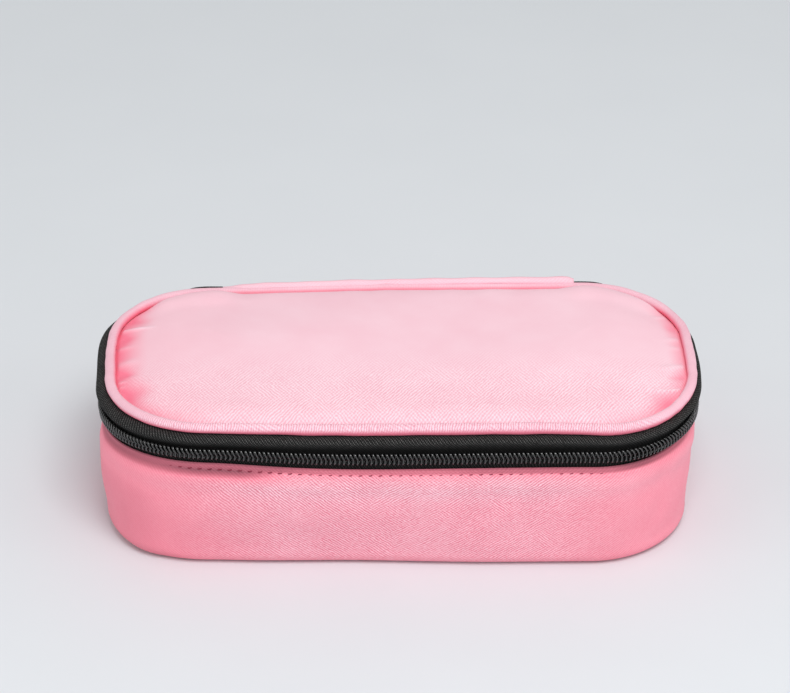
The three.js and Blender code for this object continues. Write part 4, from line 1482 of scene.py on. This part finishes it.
@dataclass
class Hinge:
    """The cloth hinge at the back and the lining band inside it."""

    finishes: Finishes
    repeater: Repeater
    wall: float = 1.0
    bulge: float = 1.2
    top_rise: float = 2.5
    stitch_edge: float = 2.4
    stitch_z: float = 47.5
    stitch_reach: float = 6.5

    def strip(self) -> Form:
        """Return the outer strip, bowed out and folded over behind the piping."""
        share = np.linspace(0.0, 1.0, 12)
        foot, back = H.tape_inset + self.wall / 2.0, H.piping_inset - H.piping_radius - 0.7
        inset = foot + (back - foot) * share - self.bulge * np.sin(math.pi * share)
        bowed = np.stack([inset, H.rim_z + (H.piping_z - H.rim_z) * share], axis=1)
        top = H.piping_z + self.top_rise
        fold = np.array([(0.1, -0.9), (0.6, -0.1), (1.3, -0.1), (2.0, -0.85)]) + (back, top)
        line = divided(np.concatenate([[[foot, H.tape_foot]], bowed, fold]), 1.0)
        form = loft(Track.straight(H.hinge_half, LINE.half_depth, 0.8), ribbon(line, self.wall))
        x, z = form.points[:, 0], form.points[:, 2]
        high = smooth(z, H.rim_z, H.zip_z + 6.0)
        puff = 0.4 * bell(x, 57.5, 3.6) + 0.3 * bell(x, -55.0, 3.0)
        moved = form.swollen(high * (0.12 * Ripple(14.0, 61)(form.points * (1.0, 0.2, 0.4)) + puff))
        drop = 1.5 * smooth(x, -46.0, -61.0) + 0.5 * smooth(x, 59.5, 61.3)
        moved.points[:, 2] += high * (0.25 * Ripple(40.0, 63)(form.points * (1.0, 0.0, 0.0)) - drop)
        # Painted shade below the piping.
        return moved.shaded(0.65 * smooth(z, H.piping_z + 1.0, H.piping_z - 4.0))

    def stitches(self, strip: Form, side: float) -> bpy.types.Mesh:
        """Return the stitches up one end of the strip, 1 for the right end and -1 for the left."""
        near = np.abs(strip.points[:, 0] - side * (H.hinge_half - self.stitch_edge)) < 0.5
        column = strip.points[near & (np.abs(strip.points[:, 2] - self.stitch_z) < self.stitch_reach)]
        levels = np.linspace(column[:, 2].min() + 0.5, column[:, 2].max() - 0.5, 14)
        outer = [column[np.abs(column[:, 2] - level) < 0.8][:, 1].max() for level in levels]
        line = np.stack([np.full_like(levels, column[:, 0].mean()), outer, levels], axis=1)
        inward = np.tile((0.0, -1.0, 0.0), (len(line), 1))
        return self.repeater.row(line, inward, stitch(1.5, 0.18), 2.6, self.finishes.thread)

    def facing(self) -> Form:
        """Return the lining band inside the hinge."""
        line = np.array([[6.45, H.binding_top + 0.7], [6.45, H.lid_foot_z - 1.7]])
        track = Track.straight(H.hinge_half, LINE.half_depth, 1.5)
        return loft(track, ribbon(divided(line, 0.8), self.wall))

    def build(self) -> None:
        """Make the pieces of the hinge, which bend from the tub to the lid."""
        dress, long = self.finishes, 2.0 * H.hinge_half
        sewn = Place(Body.BASE, Slot.TWILL, bends=True)
        strip = self.strip().moved(settle)
        place = replace(sewn, node="hinge_strip").sheet((long, 25.5), "tub_cloth", "lid_piping_cord")
        hand_over("hinge_cloth", strip, dress.hinge, place)
        for name, side in (("left", -1.0), ("right", 1.0)):
            hand_over(f"hinge_stitches_{name}", self.stitches(strip, side), dress.thread, sewn)
        place = Place(Body.BASE, Slot.BINDING, "hinge_lining", bends=True)
        place = place.sheet((long, 10.3), "tub_binding", "lid_binding")
        hand_over("hinge_facing", self.facing(), dress.binding, place)


@dataclass
class PenStraps:
    """Two elastic bands, each sewn down between three loops for pens."""

    finishes: Finishes
    bore: float = 17.5
    loop_height: float = 16.8
    wall: float = 1.0
    width: float = 20.0
    land: float = 2.6
    from_end: float = 58.0
    loops: int = 3

    def line(self) -> np.ndarray:
        """Return the middle of the band from the front to the back, as y and z."""
        half, pitch = self.bore / 2.0 + self.wall / 2.0, self.bore + self.land
        foot = H.floor_z + 0.2 + self.wall / 2.0
        spring = H.floor_z + 0.2 + self.loop_height - self.bore / 2.0
        start = -(self.loops * pitch + self.land) / 2.0
        turn = np.linspace(math.pi, 0.0, 22)
        rows = [[(start, foot)]]
        for loop in range(self.loops):
            middle = start + self.land + self.bore / 2.0 + loop * pitch
            arch = np.stack([middle + half * np.cos(turn), spring + half * np.sin(turn)], axis=1)
            rows += [[(middle - half, foot)], arch, [(middle + half, foot)]]
        return divided(np.concatenate([*rows, [(-start, foot)]]), 0.9)

    def band(self, middle: float) -> Form:
        """Return one band with rounded edges, its middle at a place along x."""
        line = self.line()
        smoothed = line.copy()
        smoothed[1:-1] = (line[:-2] + 2.0 * line[1:-1] + line[2:]) / 4.0
        ahead = normed(np.gradient(smoothed, axis=0))
        side = np.stack([-ahead[:, 1], ahead[:, 0]], axis=1)
        across = np.linspace(-self.width / 2.0 + 0.5, self.width / 2.0 - 0.5, 9)
        edge = ribbon(np.stack([across, np.zeros_like(across)], axis=1), self.wall)
        grid = np.empty((len(edge), len(line), 3))
        grid[..., 0] = middle + edge[:, 0][:, None]
        grid[..., 1:] = smoothed[None] + side[None] * edge[:, 1][:, None, None]
        grid[..., 2] = np.maximum(grid[..., 2], H.floor_z + 0.25)
        return Form.grid(grid, lengths(line), lengths(looped(edge)), (True, False))

    def build(self) -> None:
        """Make both bands."""
        flat = (self.width, lengths(self.line())[-1])
        for name, side in (("left", -1.0), ("right", 1.0)):
            form = self.band(side * (LINE.half_length - self.from_end))
            place = Place(Body.BASE, Slot.ELASTIC, f"pen_strap_{name}").sheet(flat, "tub_film")
            hand_over(f"pen_loops_{name}", form, self.finishes.elastic, place)


@dataclass
class LidPocket:
    """The net pocket under the lid, its elastic mouth and the gel pouch in it."""

    finishes: Finishes
    netting: Netting
    half_length: float = 75.0
    half_depth: float = 33.0
    margin: float = 3.4
    flare: float = 5.0
    top_z: float = 50.05
    floor_z: float = 38.65
    cell: tuple[float, float] = (1.5, 1.1)
    yarn: float = 0.17
    yarn_share: float = 0.42
    net_flat: tuple[float, float] = (190.0, 82.0)
    pouch_middle_z: float = 44.55
    pouch_half: float = 5.5
    seal: float = 4.5
    shoulder: float = 10.0

    def net(self) -> bpy.types.Mesh:
        """Return the net as yarn."""
        wide = self.half_length + self.margin + self.flare
        back = self.half_depth + self.margin + self.flare / 2.0
        columns = 2 * round(wide / self.cell[0]) + 1
        rows = round((back + self.half_depth) / self.cell[1]) + 1
        share, crowding = np.linspace(-1.0, 1.0, columns), 1.06
        x = wide * np.sign(share) * (1.0 - (1.0 - np.abs(share)) ** crowding)
        depth = np.linspace(0.0, 1.0, rows)
        y = -self.half_depth + (back + self.half_depth) * (1.0 - (1.0 - depth) ** crowding)
        gx, gy = np.meshgrid(x, y)
        run = self.margin + self.flare
        over = np.hypot(
            np.maximum(np.abs(gx) - (wide - run), 0.0) / run,
            np.maximum(gy - (back - run), 0.0) / run,
        )
        lift = 1.0 - np.sqrt(np.clip(1.0 - np.clip(over, 0.0, 1.0) ** 2, 0.0, 1.0))
        z = self.floor_z - 0.4 + (self.top_z - self.floor_z - 0.2) * lift
        points = np.stack([gx, gy, z], axis=-1).reshape(-1, 3)
        points[:, 2] += 0.25 * Ripple(30.0, 71)(points * (1.0, 1.0, 0.0))
        inside = over.ravel() <= 1.0
        edges = []
        for row in range(rows - 1):
            for column in range(columns - 1):
                here = row * columns + column
                pair = (here, here + columns + 1) if (row + column) % 2 == 0 else (here + 1, here + columns)
                if inside[pair[0]] and inside[pair[1]]:
                    edges.append(pair)
        used = sorted({index for pair in edges for index in pair})
        order = {index: place for place, index in enumerate(used)}
        carrier = bpy.data.meshes.new("net")
        carrier.from_pydata((points[used] * MM).tolist(), [(order[a], order[b]) for a, b in edges], [])
        return self.netting.grow(carrier, yarn=self.yarn * MM, finish=self.finishes.net)

    def band(self) -> Form:
        """Return the elastic along the mouth of the net."""
        inset = LINE.half_depth - (self.half_depth + 0.7)
        line = np.array([[inset, self.floor_z - 0.6], [inset, self.floor_z + 7.0]])
        x = np.linspace(-self.half_length + 0.4, self.half_length - 0.4, 240)
        out = np.tile((0.0, -1.0), (len(x), 1))
        track = Track(np.stack([x, np.full_like(x, -LINE.half_depth)], axis=1), out, x - x[0])
        form = loft(track, ribbon(divided(line, 1.0), 0.8))
        form.points[:, 1] += 0.12 * np.sin(form.points[:, 0] * 1.7) * np.cos(form.points[:, 0] * 0.23)
        return form

    def pouch(self) -> Form:
        """Return the gel pouch: two swollen faces and a flat welded rim."""
        count, power, shrinks = 320, 0.22, np.array([0.0, 0.05, 0.3, 0.6, 0.85])
        turn = np.linspace(0.0, math.pi / 2.0, 12)
        rise = 0.5 + (self.pouch_half - 0.5) * np.sin(turn)
        face = np.stack([self.seal + self.shoulder * (1.0 - np.cos(turn)), rise], axis=1)
        rim = np.array([[2.4, 0.5], [0.3, 0.5], [0.0, 0.0], [0.3, -0.5], [2.4, -0.5]])
        side = np.concatenate([face[::-1], rim, face * (1.0, -1.0)])
        angle = full_turn(count)
        wave = np.stack([np.cos(angle), np.sin(angle)], axis=1)
        shape = np.sign(wave) * np.abs(wave) ** power
        rows = []
        for inward, height in side:
            half = np.array([self.half_length - inward, self.half_depth - inward])
            rows.append(np.column_stack([shape * half, np.full(count, self.pouch_middle_z + height)]))
        upper = [rows[0] * (shrink, shrink, 1.0) for shrink in shrinks]
        lower = [rows[-1] * (shrink, shrink, 1.0) for shrink in shrinks[::-1]]
        grid = np.concatenate([upper, rows, lower])
        level = range(len(grid))
        form = Form.grid(grid, np.arange(count + 1.0), np.zeros(len(grid)), (False, True), level)
        edge = np.hypot(form.points[:, 0] / self.half_length, form.points[:, 1] / self.half_depth)
        crumple = Ripple(11.0, 81)(form.points) * smooth(edge, 0.35, 0.9) * 0.3
        thick = smooth(np.abs(form.points[:, 2] - self.pouch_middle_z), 0.6, 2.0)
        return form.swollen(-np.abs(crumple) * thick)

    def build(self) -> None:
        """Make the pieces of the pocket."""
        dress, body = self.finishes, Body.LID
        area = self.yarn_share * self.net_flat[0] * self.net_flat[1]
        place = Place(body, Slot.NET, "mesh_pocket").sheet(self.net_flat, "gel_pouch", "lid_film", area=area)
        hand_over("net_pocket", self.net(), dress.net, place)
        hand_over("net_mouth_band", self.band(), dress.elastic, Place(body, Slot.ELASTIC, "mesh_pocket_band"))
        hand_over("gel_pouch", self.pouch(), dress.gel, Place(body, Slot.GEL, "cool_pack").padded(0.8))


@dataclass
class Slider:
    """The slider and its pull, with their edges broken."""

    finishes: Finishes
    edge: float = 0.22
    segments: int = 2
    near: float = 1e-6
    level_angle: float = math.radians(2.0)
    sharp_angle: float = math.radians(25.0)
    crease_angle: float = math.radians(35.0)

    def eased_copy(self, node: str) -> bpy.types.Mesh:
        """Return a copy of a rigid solid with rounded edges."""
        work = bmesh.new()
        work.from_mesh(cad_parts[node].data)
        bmesh.ops.remove_doubles(work, verts=work.verts, dist=self.near)
        bmesh.ops.dissolve_limit(work, angle_limit=self.level_angle, verts=work.verts, edges=work.edges)
        inner = [edge for edge in work.edges if len(edge.link_faces) == 2]
        bmesh.ops.bevel(
            work,
            geom=[edge for edge in inner if edge.calc_face_angle() > self.sharp_angle],
            offset=self.edge * MM,
            segments=self.segments,
            profile=0.5,
            affect="EDGES",
            clamp_overlap=True,
        )
        bmesh.ops.triangulate(work, faces=[face for face in work.faces if len(face.verts) > 4])
        mesh = bpy.data.meshes.new(node)
        work.to_mesh(mesh)
        work.free()
        mesh.shade_smooth()
        mesh.set_sharp_from_angle(angle=self.crease_angle)
        return mesh

    def build(self) -> None:
        """Make the slider and the pull."""
        for name, node, body in (
            ("slider_body", "zipper_slider", Body.SLIDER),
            ("slider_pull", "zipper_pull", Body.PULL),
        ):
            hand_over(name, self.eased_copy(node), self.finishes.metal, Place(body, Slot.METAL, node))


@dataclass
class Studio:
    """The pale floor, the soft lamps and the camera at the photograph's angle."""

    elevation: float = 31.0
    yaw: float = 0.8
    distance: float = 1300.0
    focal_px: float = 3750.0
    image_width: int = 790
    aim: tuple[float, float] = (1.9, -50.0)
    sensor: float = 36.0
    room_light: float = 0.58

    def camera(self) -> None:
        """Place the camera."""
        data = bpy.data.cameras.new("camera")
        data.sensor_width = self.sensor
        data.lens = self.focal_px * self.sensor / self.image_width
        data.clip_end = 20.0
        camera = put("camera", data)
        tilt, turn = math.radians(self.elevation), math.radians(-self.yaw)
        up = np.array([0.0, math.sin(tilt), math.cos(tilt)])
        ahead = np.array([0.0, math.cos(tilt), -math.sin(tilt)])
        place = np.array([-self.aim[0], 0.0, 0.0]) - self.aim[1] * up - self.distance * ahead
        spin = np.array([[math.cos(turn), -math.sin(turn)], [math.sin(turn), math.cos(turn)]])
        camera.location = (*(spin @ place[:2] * MM), place[2] * MM)
        camera.rotation_euler = (math.pi / 2.0 - tilt, 0.0, turn)
        bpy.context.scene.camera = camera

    def floor(self) -> None:
        """Lay the floor."""
        mesh = bpy.data.meshes.new("floor")
        half = 6.0
        corners = [(-half, -half, 0.0), (half, -half, 0.0), (half, half, 0.0), (-half, half, 0.0)]
        mesh.from_pydata(corners, [], [(0, 1, 2, 3)])
        recipe = Recipe("pale_floor")
        grain = recipe.noise(60.0, 2.0)
        colour = recipe.blend(grain, (0.7, 0.73, 0.76), (0.73, 0.76, 0.79))
        mesh.materials.append(recipe.shade(base_color=colour, roughness=0.85))
        floor = put("floor", mesh)

    def lamp(self, name: str, place: tuple[float, float, float], size: float, power: float) -> None:
        """Hang a soft lamp that points at the case.

        Args:
            name: Name of the lamp.
            place: Where it hangs, in metres.
            size: Side of its square face, in metres.
            power: Its power in watts.
        """
        data = bpy.data.lights.new(name, "AREA")
        data.size = size
        data.energy = power
        lamp = put(name, data)
        lamp.location = place
        aim = np.array([0.0, 0.0, 0.03]) - np.array(place)
        flat = math.hypot(aim[0], aim[1])
        lamp.rotation_euler = (math.atan2(flat, -aim[2]), 0.0, math.atan2(-aim[0], aim[1]))

    def build(self) -> None:
        """Set up the studio."""
        scene = bpy.context.scene
        scene.view_settings.view_transform = "Standard"
        world = bpy.data.worlds.new("soft_room")
        scene.world = world
        world.use_nodes = True
        sky = world.node_tree.nodes["Background"].inputs
        sky[0].default_value = (1.0, 1.0, 1.0, 1.0)
        sky[1].default_value = self.room_light
        self.camera()
        self.floor()
        self.lamp("key_lamp", (0.18, -0.58, 1.04), 0.5, 7.0)
        self.lamp("left_lamp", (-1.0, -0.55, 0.35), 0.8, 2.5)
        self.lamp("right_lamp", (1.0, -0.55, 0.35), 0.8, 2.4)
        log.info("studio ready")


def main() -> None:
    """Build the case and its studio."""
    logging.basicConfig(level=logging.INFO, format="%(name)s: %(message)s")
    Studio().build()
    finishes = Finishes()
    repeater = Repeater()
    Tub(finishes, repeater).build()
    Lid(finishes).build()
    Zipper(finishes, repeater).build()
    Hinge(finishes, repeater).build()
    PenStraps(finishes).build()
    LidPocket(finishes, Netting()).build()
    Slider(finishes).build()


if __name__ == "__main__":
    main()
